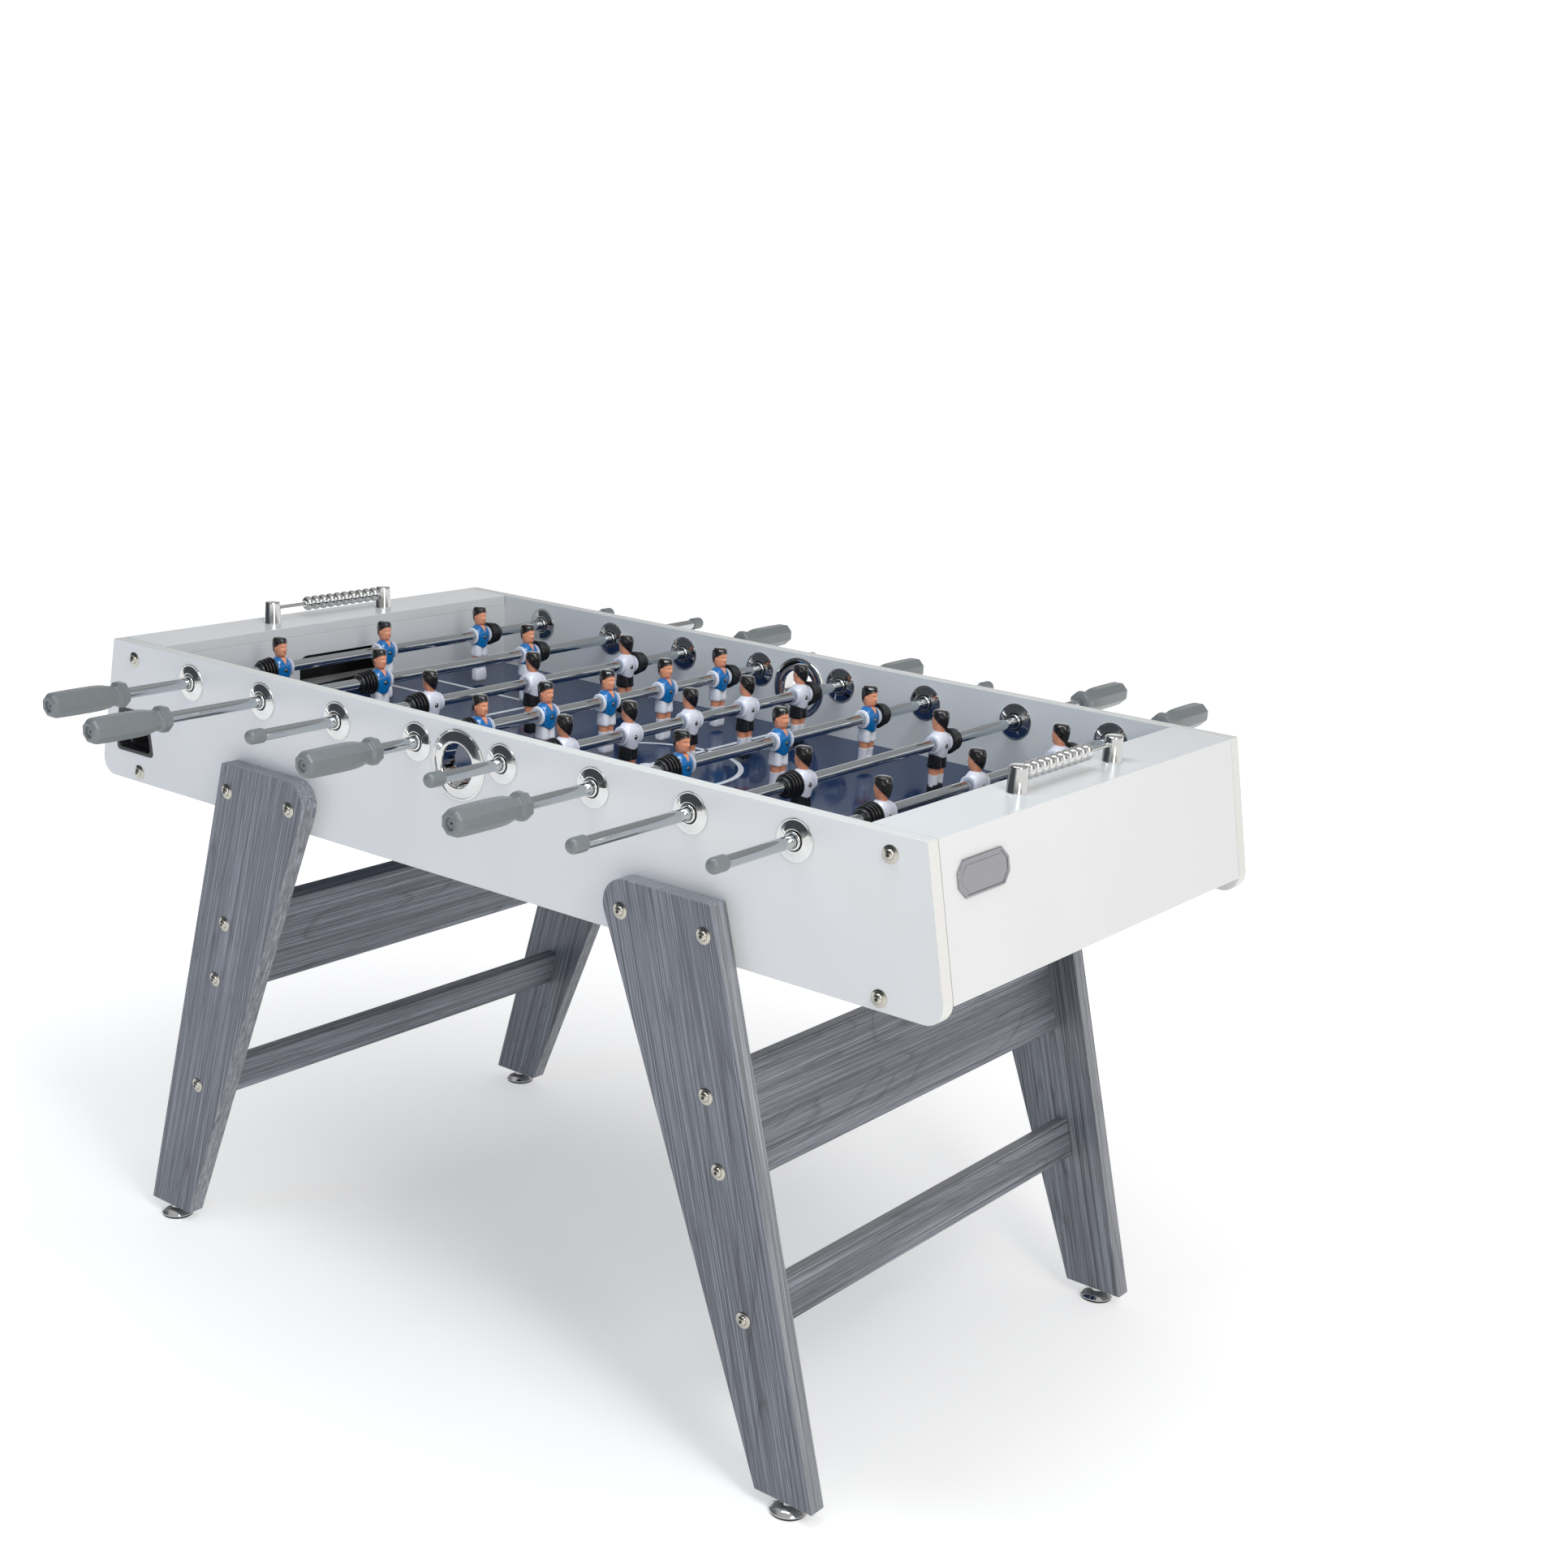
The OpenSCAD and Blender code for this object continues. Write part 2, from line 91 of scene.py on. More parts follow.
def outlines(names, axis, sign):
    """Closed outlines of the flat faces at a node's lowest or highest end along an axis.
    Each is (outer loop, [hole loops]); a loop is a list of points on the two other axes."""
    points, faces = node_mesh(*names)
    ends = points[:, axis]
    level = ends.max() if sign > 0 else ends.min()
    flat = [f for f in faces if all(abs(ends[i] - level) < 2 * WELD for i in f)]
    edges = {}
    for f in flat:
        for a, b in zip(f, f[1:] + f[:1]):
            if (b, a) in edges:
                del edges[(b, a)]
            else:
                edges[(a, b)] = True
    follow = {a: b for a, b in edges}
    keep = [i for i in range(3) if i != axis]
    loops = []
    while follow:
        start, here = next(iter(follow.items()))
        del follow[start]
        loop = [start]
        while here != start:
            loop.append(here)
            here = follow.pop(here)
        loops.append([points[i][keep] for i in loop])
    loops.sort(key=lambda q: -abs(area(q)))
    found = []
    for loop in loops:
        home = [o for o in found if inside(loop[0], o[0])]
        if home:
            home[0][1].append(anticlockwise(loop))
        else:
            found.append((anticlockwise(loop), []))
    return found


def area(loop):
    p = np.array(loop)
    q = np.roll(p, -1, axis=0)
    return float(np.sum(p[:, 0] * q[:, 1] - p[:, 1] * q[:, 0])) / 2


def anticlockwise(loop):
    return loop if area(loop) > 0 else loop[::-1]


def inside(point, loop):
    hit = False
    for a, b in zip(loop, loop[1:] + loop[:1]):
        if (a[1] > point[1]) != (b[1] > point[1]):
            if point[0] < a[0] + (point[1] - a[1]) / (b[1] - a[1]) * (b[0] - a[0]):
                hit = not hit
    return hit


def corners_of(loop):
    """Each point of a closed loop with its two neighbours."""
    return zip(loop[-1:] + loop[:-1], loop, loop[1:] + loop[:1])


def simplify(loop):
    """Leaves out the points that lie on a straight line."""
    kept = []
    for before, here, after in corners_of(loop):
        a, b = here - before, after - here
        if abs(a[0] * b[1] - a[1] * b[0]) > 1e-4 * np.linalg.norm(a) * np.linalg.norm(b):
            kept.append(here)
    return kept


def soften(loop, radius, steps=3, least=20):
    """Turns the corners of an outline that are sharper than some degrees into small arcs."""
    made = []
    for before, here, after in corners_of(loop):
        a = (before - here) / np.linalg.norm(before - here)
        b = (after - here) / np.linalg.norm(after - here)
        half = math.acos(max(-1, min(1, float(a @ b)))) / 2
        if math.degrees(math.pi - 2 * half) < least:
            made.append(here)
            continue
        centre = here + (a + b) / np.linalg.norm(a + b) * radius / math.sin(half)
        reach = radius / math.tan(half)
        first, last = here + a * reach - centre, here + b * reach - centre
        for i in range(steps + 1):
            t = i / steps
            d = first * (1 - t) + last * t
            made.append(centre + d / np.linalg.norm(d) * radius)
    return made


def offset(loop, inset):
    """The loop moved to its left, which is inwards on an anticlockwise one."""
    p = np.array(loop)
    ahead = np.roll(p, -1, axis=0) - p
    ahead /= np.linalg.norm(ahead, axis=1)[:, None]
    normal = np.stack([-ahead[:, 1], ahead[:, 0]], 1)
    both = normal + np.roll(normal, 1, axis=0)
    both /= np.maximum(0.3, np.sum(both * normal, axis=1))[:, None]
    return p + both * inset


# ---------------------------------------------------------------- gathering meshes

class Shape:
    """Points and faces of one piece. Each face has a material's number."""

    def __init__(self):
        self.points, self.faces, self.mats = [], [], []

    def add(self, part, mat=0, place=None):
        points, faces = part[0], part[1]
        mats = part[2] if len(part) > 2 else [mat] * len(faces)
        points = np.array(points, float)
        if place is not None:
            m = np.array(place)
            points = points @ m[:3, :3].T + m[:3, 3]
        start = len(self.points)
        self.points += [tuple(p) for p in points]
        self.faces += [[start + i for i in f] for f in faces]
        self.mats += list(mats)
        return self


def add_object(name, data):
    made = bpy.data.objects.new(name, data)
    bpy.context.scene.collection.objects.link(made)
    return made


def piece(name, shape, materials, replaced=(), body="cabinet", crease=35, grain=None, flat=False):
    """Makes the object, rides it on its body and hides the CAD nodes it stands for.
    With flat, its larger faces are shaded flat and only the narrow ones between them are blended."""
    mesh = bpy.data.meshes.new(name)
    mesh.from_pydata(shape.points, [], shape.faces)
    for m in materials:
        mesh.materials.append(m)
    mesh.polygons.foreach_set("material_index", shape.mats)
    b = bmesh.new()
    b.from_mesh(mesh)
    bmesh.ops.dissolve_degenerate(b, dist=1e-7, edges=b.edges)
    bmesh.ops.recalc_face_normals(b, faces=b.faces)
    b.to_mesh(mesh)
    b.free()
    mesh.polygons.foreach_set("use_smooth", [True] * len(mesh.polygons))
    mesh.set_sharp_from_angle(angle=math.radians(crease))
    if grain is not None:
        give_grain(mesh, *grain)
    made = add_object(name, mesh)
    if flat:
        weigh = made.modifiers.new("flat_faces", "WEIGHTED_NORMAL")
        weigh.mode = "FACE_AREA"
        weigh.keep_sharp = True
    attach(made, body)
    if replaced:
        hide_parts(*replaced)
    return made


def give_grain(mesh, along, start):
    """Stores where each point is along the grain, across it and through it, from a start point."""
    along = Vector(along).normalized()
    side = along.cross(Vector((0, 1, 0)) if abs(along.y) < 0.9 else Vector((0, 0, 1))).normalized()
    turn = np.array([along, side, along.cross(side)])
    co = np.array([v.co for v in mesh.vertices]) - np.array(start)
    attribute = mesh.attributes.new("grain", "FLOAT_VECTOR", "POINT")
    attribute.data.foreach_set("vector", (co @ turn.T).astype(np.float32).ravel())


def lathe(profile, steps=48, closed=False):
    """Turns (radius, height) points round Z. Points on the axis become poles."""
    points, rings = [], []
    for r, z in profile:
        if r < 1e-9:
            rings.append([len(points)] * steps)
            points.append((0, 0, z))
        else:
            rings.append(list(range(len(points), len(points) + steps)))
            points += [(r * math.cos(2 * math.pi * i / steps), r * math.sin(2 * math.pi * i / steps), z)
                       for i in range(steps)]
    return points, ring_faces(rings, closed)


def ring_faces(rings, closed=False):
    """Quads and triangles between rings of point numbers; a pole is one number repeated."""
    faces = []
    pairs = list(zip(rings, rings[1:])) + ([(rings[-1], rings[0])] if closed else [])
    for a, b in pairs:
        n = len(a)
        for i in range(n):
            j = (i + 1) % n
            corners = [a[i], a[j], b[j], b[i]]
            face = [c for k, c in enumerate(corners) if c != corners[k - 1]]
            if len(face) > 2:
                faces.append(face)
    return faces


def loft(rings, cap=(True, True)):
    """Skin over rings of points, all of the same count, with its ends closed at their middles."""
    n = len(rings[0])
    rings = [np.array(r, float) for r in rings]
    points = [p for r in rings for p in r]
    index = [list(range(i * n, (i + 1) * n)) for i in range(len(rings))]
    for end, wanted in ((0, cap[0]), (-1, cap[1])):
        if wanted:
            pole = [len(points)] * n
            points.append(rings[end].mean(0))
            index = [pole] + index if end == 0 else index + [pole]
    return points, ring_faces(index)


def board(outer, holes, low, high, edge, axis=1, steps=3):
    """A board between two levels of an axis, with rounded edges. Faces are material 0 and its edges are 1."""
    loops = [np.array(outer)] + [np.array(h) for h in holes]
    signs = [1] + [-1] * len(holes)
    turns = [math.pi / 2 * i / steps for i in range(steps + 1)]
    levels = [(low + edge * (1 - math.cos(t)), edge * (1 - math.sin(t))) for t in turns]
    levels += [(low + high - z, inset) for z, inset in reversed(levels)]
    points, faces, mats = [], [], []
    ends = {0: [], len(levels) - 1: []}
    for loop, sign in zip(loops, signs):
        index = []
        for k, (z, inset) in enumerate(levels):
            ring = offset(loop, sign * inset)
            index.append(list(range(len(points), len(points) + len(ring))))
            points += [np.insert(p, axis, z) for p in ring]
            if k in ends:
                ends[k].append((ring, index[-1]))
        made = ring_faces(index)
        faces += made
        mats += [1] * len(made)
    for k, rings in ends.items():
        numbers = [i for _, index in rings for i in index]
        flat = [[Vector((x, y, 0)) for x, y in ring] for ring, _ in rings]
        for tri in tessellate_polygon(flat):
            faces.append([numbers[i] for i in tri])
            mats.append(0)
    return points, faces, mats


def oval(half_x, half_y, count, power=2.0, centre_x=0.0, centre_y=0.0, z=0.0):
    """A ring like an ellipse, boxier for a higher power."""
    t = np.arange(count) * 2 * math.pi / count
    c, s = np.cos(t), np.sin(t)
    x = half_x * np.sign(c) * np.abs(c) ** (2 / power) + centre_x
    y = half_y * np.sign(s) * np.abs(s) ** (2 / power) + centre_y
    return np.stack([x, y, np.full(count, z)], 1)


def polygon_ring(radius, z, sides=8, corner=2.2, steps=3):
    """A ring like a polygon with rounded corners; radius is to the middle of its flats."""
    loop = [np.array([math.cos(a), math.sin(a)]) * radius / math.cos(math.pi / sides)
            for a in (2 * math.pi * (i + 0.5) / sides for i in range(sides))]
    ring = soften(loop, min(corner, radius * 0.5), steps, least=5)
    return [(x, y, z) for x, y in ring]


def along_y(x, y, z, side):
    """Places a shape drawn in millimetres along +Z so that it points along Y, to the side given."""
    turn = Matrix.Rotation(math.radians(-90 if side > 0 else 90), 4, "X")
    return Matrix.Translation((x, y, z)) @ turn @ Matrix.Scale(MM, 4)


def upright(x, y, z):
    return Matrix.Translation((x, y, z)) @ Matrix.Scale(MM, 4)


def middle(box):
    return (box[0] + box[1]) / 2


def side_panels():
    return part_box("front_side_panel"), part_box("rear_side_panel")


def cap_and_handle(k):
    """Boxes of a rod's cap and of its handle, which is the longer."""
    boxes = sorted(solids(f"grips_{k}"), key=lambda b: b[1].y - b[0].y)
    return boxes[0], boxes[-1]


# ---------------------------------------------------------------- materials

class Tree:
    """A short way to write a node tree."""

    def __init__(self, tree):
        self.tree = tree

    def new(self, kind, **values):
        node = self.tree.nodes.new(kind)
        for key, value in values.items():
            setattr(node, key, value)
        return node

    def link(self, a, b):
        self.tree.links.new(a, b)

    def ramp(self, value, *stops):
        node = self.new("ShaderNodeValToRGB")
        elements = node.color_ramp.elements
        while len(elements) < len(stops):
            elements.new(0.5)
        for element, (at, colour) in zip(elements, stops):
            element.position = at
            element.color = (*colour, 1) if hasattr(colour, "__len__") else (colour,) * 3 + (1,)
        self.link(value, node.inputs["Fac"])
        return node.outputs["Color"]

    def mix(self, factor, a, b, blend="MIX"):
        node = self.new("ShaderNodeMix", data_type="RGBA", blend_type=blend)
        for value, socket in ((factor, node.inputs[0]), (a, node.inputs[6]), (b, node.inputs[7])):
            if hasattr(value, "is_linked"):
                self.link(value, socket)
            else:
                socket.default_value = (*value, 1) if hasattr(value, "__len__") else value
        return node.outputs[2]


class Nodes(Tree):
    """A material's nodes, which end in its Principled shader."""

    def __init__(self, name):
        self.material = bpy.data.materials.new(name)
        self.material.use_nodes = True
        super().__init__(self.material.node_tree)
        self.shader = self.tree.nodes["Principled BSDF"]

    def set(self, **values):
        for key, value in values.items():
            self.shader.inputs[key.replace("_", " ")].default_value = value
        return self

    def coordinates(self, scale, attribute=None):
        if attribute:
            source = self.new("ShaderNodeAttribute", attribute_name=attribute).outputs["Vector"]
        else:
            source = self.new("ShaderNodeTexCoord").outputs["Object"]
        mapping = self.new("ShaderNodeMapping")
        mapping.inputs["Scale"].default_value = scale if hasattr(scale, "__len__") else (scale,) * 3
        self.link(source, mapping.inputs["Vector"])
        return mapping.outputs["Vector"]

    def noise(self, scale, detail=4.0, rough=0.5, distort=0.0, attribute=None):
        node = self.new("ShaderNodeTexNoise")
        node.inputs["Scale"].default_value = 1.0
        node.inputs["Detail"].default_value = detail
        node.inputs["Roughness"].default_value = rough
        node.inputs["Distortion"].default_value = distort
        self.link(self.coordinates(scale, attribute), node.inputs["Vector"])
        return node.outputs["Fac"]

    def contours(self, value, count):
        """Runs from 0 to 1 again and again, a number of times over the value's own range."""
        times = self.new("ShaderNodeMath", operation="MULTIPLY")
        times.inputs[1].default_value = count
        self.link(value, times.inputs[0])
        part = self.new("ShaderNodeMath", operation="FRACT")
        self.link(times.outputs[0], part.inputs[0])
        return part.outputs[0]

    def bump(self, value, depth, strength=1.0):
        """Depth is in metres."""
        node = self.new("ShaderNodeBump")
        node.inputs["Strength"].default_value = strength
        node.inputs["Distance"].default_value = depth
        self.link(value, node.inputs["Height"])
        if self.shader.inputs["Normal"].is_linked:
            self.link(self.shader.inputs["Normal"].links[0].from_socket, node.inputs["Normal"])
        self.link(node.outputs["Normal"], self.shader.inputs["Normal"])
        return self

    def colour(self, socket):
        self.link(socket, self.shader.inputs["Base Color"])
        return self

    def rough(self, value, low, high):
        self.link(self.ramp(value, (0.3, low), (0.7, high)), self.shader.inputs["Roughness"])
        return self


def laminate(name, light, dark):
    """Melamine-faced board: a faint cloudiness and a fine pebbled surface."""
    n = Nodes(name)
    cloud = n.noise(7, 1)
    speck = n.noise(1400, 2)
    base = n.ramp(cloud, (0.3, dark), (0.7, light))
    n.colour(n.mix(0.02, base, n.ramp(speck, (0.35, 0.2), (0.65, 1.0)), "MULTIPLY"))
    n.rough(speck, 0.27, 0.30)
    n.bump(speck, 0.000008, 0.1)
    return n.material


def edge_band(name, light, dark):
    """The plastic band on a board's edge, with faint scraper lines."""
    n = Nodes(name)
    lines = n.noise((6, 900, 900), 3)
    n.colour(n.ramp(lines, (0.3, dark), (0.7, light)))
    n.rough(n.noise(120, 3), 0.36, 0.5)
    n.bump(lines, 0.00002, 0.4)
    return n.material


def woodgrain(name, dark, mid, light):
    """Printed grain along the board: long fine lines, nested growth lines, broad bands and pores."""
    n = Nodes(name)
    broad = n.noise((1.2, 22, 22), 2, 0.5, 0.3, "grain")
    lines = n.noise((3.0, 480, 480), 4, 0.6, 0.4, "grain")
    growth = n.contours(n.noise((0.9, 13, 13), 2, 0.45, 0.5, "grain"), 26)
    pores = n.noise((30, 1100, 1100), 2, 0.6, 0.3, "grain")
    base = n.ramp(lines, (0.34, dark), (0.50, mid), (0.66, light))
    base = n.mix(0.6, base, n.ramp(broad, (0.32, 0.80), (0.68, 1.10)), "MULTIPLY")
    base = n.mix(0.6, base, n.ramp(growth, (0.0, 0.55), (0.16, 1.0), (0.90, 1.03), (1.0, 0.45)), "MULTIPLY")
    base = n.mix(0.4, base, n.ramp(pores, (0.38, 0.4), (0.5, 1.0)), "MULTIPLY")
    n.colour(base)
    n.rough(lines, 0.36, 0.5)
    n.bump(lines, 0.00012, 0.5)
    n.bump(pores, 0.00005, 0.6)
    return n.material


def field_print():
    """The playing surface: dark slate-blue print under a glossy laminate."""
    n = Nodes("playfield_print")
    cloud = n.noise(5, 4)
    n.colour(n.mix(0.10, n.ramp(cloud, (0.3, (0.010, 0.028, 0.082)), (0.7, (0.015, 0.037, 0.102))),
                   n.ramp(n.noise(1100, 2), (0.4, 0.4), (0.6, 1.0)), "MULTIPLY"))
    n.rough(n.noise(35, 4), 0.06, 0.13)
    n.set(Specular_IOR_Level=0.14)
    n.bump(n.noise(260, 2), 0.00001, 0.3)
    return n.material


def metal(name, colour, low, high, brush=160):
    """Polished or brushed metal with a little unevenness."""
    n = Nodes(name)
    n.set(Metallic=1.0)
    wear = n.noise(brush, 4, 0.6)
    tone = tuple(0.93 * c for c in colour)
    n.colour(n.ramp(wear, (0.25, tone), (0.75, colour)))
    n.rough(wear, low, high)
    n.bump(wear, 0.000001, 0.1)
    return n.material


def plastic(name, light, dark, low, high, grain=500, depth=0.00003, coat=0.0):
    """Moulded plastic or paint: slight colour variation and a moulded texture."""
    n = Nodes(name)
    n.colour(n.ramp(n.noise(grain / 8, 3), (0.2, dark), (0.8, light)))
    n.rough(n.noise(grain / 2, 2), low, high)
    n.bump(n.noise(grain, 2), depth, 0.4)
    if coat:
        n.set(Coat_Weight=coat, Coat_Roughness=0.06)
    return n.material


WHITE = laminate("white_laminate", (0.675, 0.68, 0.685), (0.66, 0.665, 0.67))
BAND = edge_band("cream_edge_band", (0.685, 0.68, 0.66), (0.65, 0.645, 0.625))
GREY_WOOD = woodgrain("grey_woodgrain", (0.070, 0.075, 0.090), (0.160, 0.170, 0.198), (0.300, 0.320, 0.370))
GREY_EDGE = woodgrain("grey_woodgrain_edge", (0.13, 0.135, 0.15), (0.23, 0.24, 0.265), (0.37, 0.38, 0.41))
FIELD = field_print()
LINE = plastic("field_line_white", (0.86, 0.88, 0.92), (0.80, 0.82, 0.87), 0.12, 0.22, 300, 0.00001, 0.4)
CHROME = metal("polished_chrome", (0.66, 0.66, 0.65), 0.03, 0.06)
ROD_STEEL = metal("ground_rod_steel", (0.56, 0.59, 0.61), 0.07, 0.10, (260, 5, 260))
NICKEL = metal("bolt_nickel", (0.50, 0.48, 0.42), 0.12, 0.22)
PEWTER = metal("badge_pewter", (0.34, 0.34, 0.36), 0.26, 0.42, (900, 30, 900))
RUBBER = plastic("black_rubber", (0.016, 0.016, 0.017), (0.008, 0.008, 0.009), 0.20, 0.27, 1200, 0.00001)
BLACK = plastic("black_plastic", (0.016, 0.016, 0.018), (0.009, 0.009, 0.010), 0.34, 0.48, 700, 0.00004)
GRIP = plastic("grip_plastic", (0.180, 0.195, 0.200), (0.163, 0.178, 0.183), 0.30, 0.36, 1500, 0.00002)
CHUTE = plastic("chute_plastic", (0.06, 0.06, 0.065), (0.04, 0.04, 0.045), 0.4, 0.55, 400, 0.00004)
BLUE = plastic("jersey_blue", (0.001, 0.160, 0.455), (0.001, 0.140, 0.410), 0.16, 0.28, 420, 0.00003, 0.5)
SHIRT = plastic("jersey_white", (0.74, 0.75, 0.84), (0.69, 0.70, 0.79), 0.2, 0.32, 420, 0.00003, 0.4)
TRIM = plastic("trim_white", (0.82, 0.83, 0.88), (0.76, 0.77, 0.84), 0.2, 0.32, 420, 0.00003, 0.4)
SKIN = plastic("figure_skin", (0.80, 0.34, 0.20), (0.76, 0.31, 0.175), 0.26, 0.4, 420, 0.00003, 0.2)
HAIR = plastic("figure_hair", (0.014, 0.012, 0.012), (0.007, 0.006, 0.006), 0.10, 0.22, 500, 0.00003, 0.5)
SHORTS_BLACK = plastic("shorts_black", (0.012, 0.012, 0.013), (0.007, 0.007, 0.008), 0.22, 0.34, 420,
                       0.00003, 0.3)
# Black for the bolts' sockets and the ring and cross of the players' screws: painted shade of their recesses
SCREW_HOLE_PAINTED_SHADE = plastic("screw_hole_painted_shade", (0.012, 0.012, 0.013), (0.006, 0.006, 0.007), 0.4, 0.5)


def bare_wood():
    n = Nodes("bare_wood")
    grain = n.noise((60, 8, 60), 5, 0.6, 0.8)
    n.colour(n.ramp(grain, (0.3, (0.36, 0.23, 0.12)), (0.7, (0.52, 0.37, 0.21))))
    n.rough(grain, 0.5, 0.7)
    n.bump(grain, 0.0002, 0.5)
    return n.material


def dress(name, material):
    """Gives a CAD node that stays its material."""
    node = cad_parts[name]
    node.data.materials.clear()
    node.data.materials.append(material)
    for p in node.data.polygons:
        p.material_index = 0


# ---------------------------------------------------------------- cabinet

EDGE = 0.9 * MM
JOINT_GAP = 1.0 * MM
SEAM_DEPTH = 1.0 * MM


def boards(name, nodes, axis, sign, materials, edge=EDGE, grain=None, gap=0.0):
    """A board with rounded edges for each flat outline at the end of some CAD nodes, all in one piece."""
    found = outlines(nodes, axis, sign)
    low = min(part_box(n)[0][axis] for n in nodes) + gap
    high = max(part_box(n)[1][axis] for n in nodes) - gap
    shape = Shape()
    for outer, holes in found:
        shape.add(board(soften(simplify(outer), edge), [simplify(h) for h in holes], low, high, edge, axis))
        if gap:
            for a, b in ((low - gap, low + edge), (high - edge, high + gap)):
                seam = board(offset(simplify(outer), SEAM_DEPTH), [], a, b, 0.1 * MM, axis)
                shape.add((seam[0], seam[1]), 2)
    return piece(name, shape, materials, nodes, grain=grain, flat=True)


def make_cabinet():
    for side in ("front", "rear"):
        boards(f"{side}_side_board", [f"{side}_side_panel"], 1, -1 if side == "front" else 1,
               [WHITE, BAND])
    for side in ("left", "right"):
        boards(f"{side}_end_shell", [f"{side}_end_panel", f"{side}_top_board"], 1, -1,
               [WHITE, WHITE, BLACK], 0.8 * MM, gap=JOINT_GAP)
        boards(f"{side}_goal_board", [f"{side}_goal_wall"], 0, 1 if side == "left" else -1,
               [WHITE, BAND], 0.7 * MM)
    make_goal_linings()
    dress("playfield", FIELD)
    dress("corner_blocks", bare_wood())
    dress("ball_chutes", CHUTE)


def make_goal_linings():
    """Thin black linings round the inside of each goal, behind the board with the mouth in it."""
    thin, clear = 1.2 * MM, 0.4 * MM
    for side, sign in (("left", -1), ("right", 1)):
        wall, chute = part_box(f"{side}_goal_wall"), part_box("ball_chutes")
        top_board, end_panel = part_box(f"{side}_top_board"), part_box(f"{side}_end_panel")
        near = max(sign * wall[0].x, sign * wall[1].x) + clear
        far = min(sign * end_panel[0].x, sign * end_panel[1].x) - clear
        high, low = top_board[0].z - clear, chute[1].z + clear
        half = wall[1].y - clear
        shape = Shape()
        back = [(far - thin, low), (far, low), (far, high), (far - thin, high)]
        end = far - thin - clear
        lid = [(near, high - thin), (end, high - thin), (end, high), (near, high)]
        for outline in (back, lid):
            loop = anticlockwise([np.array((sign * x, z)) for x, z in outline])
            shape.add(board(loop, [], -half, half, 0.3 * MM))
        piece(f"{side}_goal_lining", shape, [BLACK, BLACK], flat=True)


FIELD_LINE_W = 7 * MM
FIELD_LINE_RISE = 0.12 * MM
CIRCLE_R = 122 * MM
SPOT_R = 5 * MM
PENALTY = (237 * MM, 304 * MM)
GOAL_AREA = (112 * MM, 152 * MM)


def strip(path, width, z, closed=False):
    """A thin flat line along a path of (x, y) points, a little above the surface."""
    p = np.array(path)
    ahead = np.roll(p, -1, 0) - np.roll(p, 1, 0)
    if not closed:
        ahead[0], ahead[-1] = p[1] - p[0], p[-1] - p[-2]
    ahead /= np.linalg.norm(ahead, axis=1)[:, None]
    normal = np.stack([-ahead[:, 1], ahead[:, 0]], 1) * width / 2
    top = z + FIELD_LINE_RISE
    rings = [[(*(a - n), z), (*(a + n), z), (*(a + n), top), (*(a - n), top)] for a, n in zip(p, normal)]
    if closed:
        points = [q for r in rings for q in r]
        index = [list(range(4 * i, 4 * i + 4)) for i in range(len(rings))]
        return points, ring_faces(index, True)
    return loft(rings)


def make_field_lines():
    low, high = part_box("playfield")
    z = high.z
    shape = Shape()
    circle = [(CIRCLE_R * math.cos(a), CIRCLE_R * math.sin(a)) for a in np.arange(96) * 2 * math.pi / 96]
    shape.add(strip(circle, FIELD_LINE_W, z, True))
    spot = [(SPOT_R * math.cos(a), SPOT_R * math.sin(a)) for a in np.arange(24) * 2 * math.pi / 24]
    shape.add(strip(spot, 2 * SPOT_R, z, True))
    half = FIELD_LINE_W / 2
    shape.add(strip([(0, low.y + half), (0, -CIRCLE_R)], FIELD_LINE_W, z))
    shape.add(strip([(0, CIRCLE_R), (0, high.y - half)], FIELD_LINE_W, z))
    shape.add(strip([(0, -CIRCLE_R), (0, CIRCLE_R)], FIELD_LINE_W, z))
    for end in (-1, 1):
        goal = end * high.x
        for depth, width in (PENALTY, GOAL_AREA):
            x = goal - end * depth
            for s in (-1, 1):
                shape.add(strip([(goal, s * width / 2), (x - end * half, s * width / 2)], FIELD_LINE_W, z))
            shape.add(strip([(x, -width / 2 + half), (x, width / 2 - half)], FIELD_LINE_W, z))
    piece("field_lines", shape, [LINE])


FLANGE = [(11.4, 0), (23.75, 0), (23.75, 0.7), (23.5, 1.2), (23.0, 1.45), (22.3, 1.4), (21.9, 1.3),
          (21.2, 1.5), (19.0, 2.15), (16.5, 2.95), (14.5, 3.65), (13.2, 4.2), (12.5, 4.4), (11.9, 4.3),
          (11.5, 3.9), (11.4, 3.3)]
# The bushing's black top shows in the groove between the flange's hole and the hub: painted shade at the groove's
# bottom
BUSHING_PAINTED_SHADE = [(7.1, 0), (11.4, 0), (11.4, 2.2), (10.3, 2.2), (10.3, 4.0), (7.1, 4.0)]
HUB = [(7.4, 2.0), (10.1, 2.0), (10.2, 5.0), (10.0, 5.7), (9.5, 6.25), (8.9, 6.5), (8.1, 6.5), (7.6, 6.2),
       (7.4, 5.6)]
SLEEVE = [(7.1, 0), (12, 0), (12, 18), (7.1, 18)]


def make_bearings():
    """Chrome flanges inside and outside each side panel, with a black bushing round the rod. Its black, at the
    bottom of the real groove between flange hole and hub, is painted shade.
    """
    front, rear = side_panels()
    shape = Shape()
    for k in RODS:
        centre = middle(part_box(f"rod_{k}"))
        for y, side in ((front[0].y, -1), (front[1].y, 1), (rear[0].y, -1), (rear[1].y, 1)):
            place = along_y(centre.x, y, centre.z, side)
            shape.add(lathe(FLANGE, 64, True), 0, place)
            # Black bushing: painted shade at the bottom of the groove round the hub
            shape.add(lathe(BUSHING_PAINTED_SHADE, 64, True), 1, place)
            shape.add(lathe(HUB, 64, True), 0, place)
        for y in (front[0].y, rear[0].y):
            shape.add(lathe(SLEEVE, 32, True), 1, along_y(centre.x, y, centre.z, 1))
    piece("bearings", shape, [CHROME, BLACK], ["rod_bearings"])


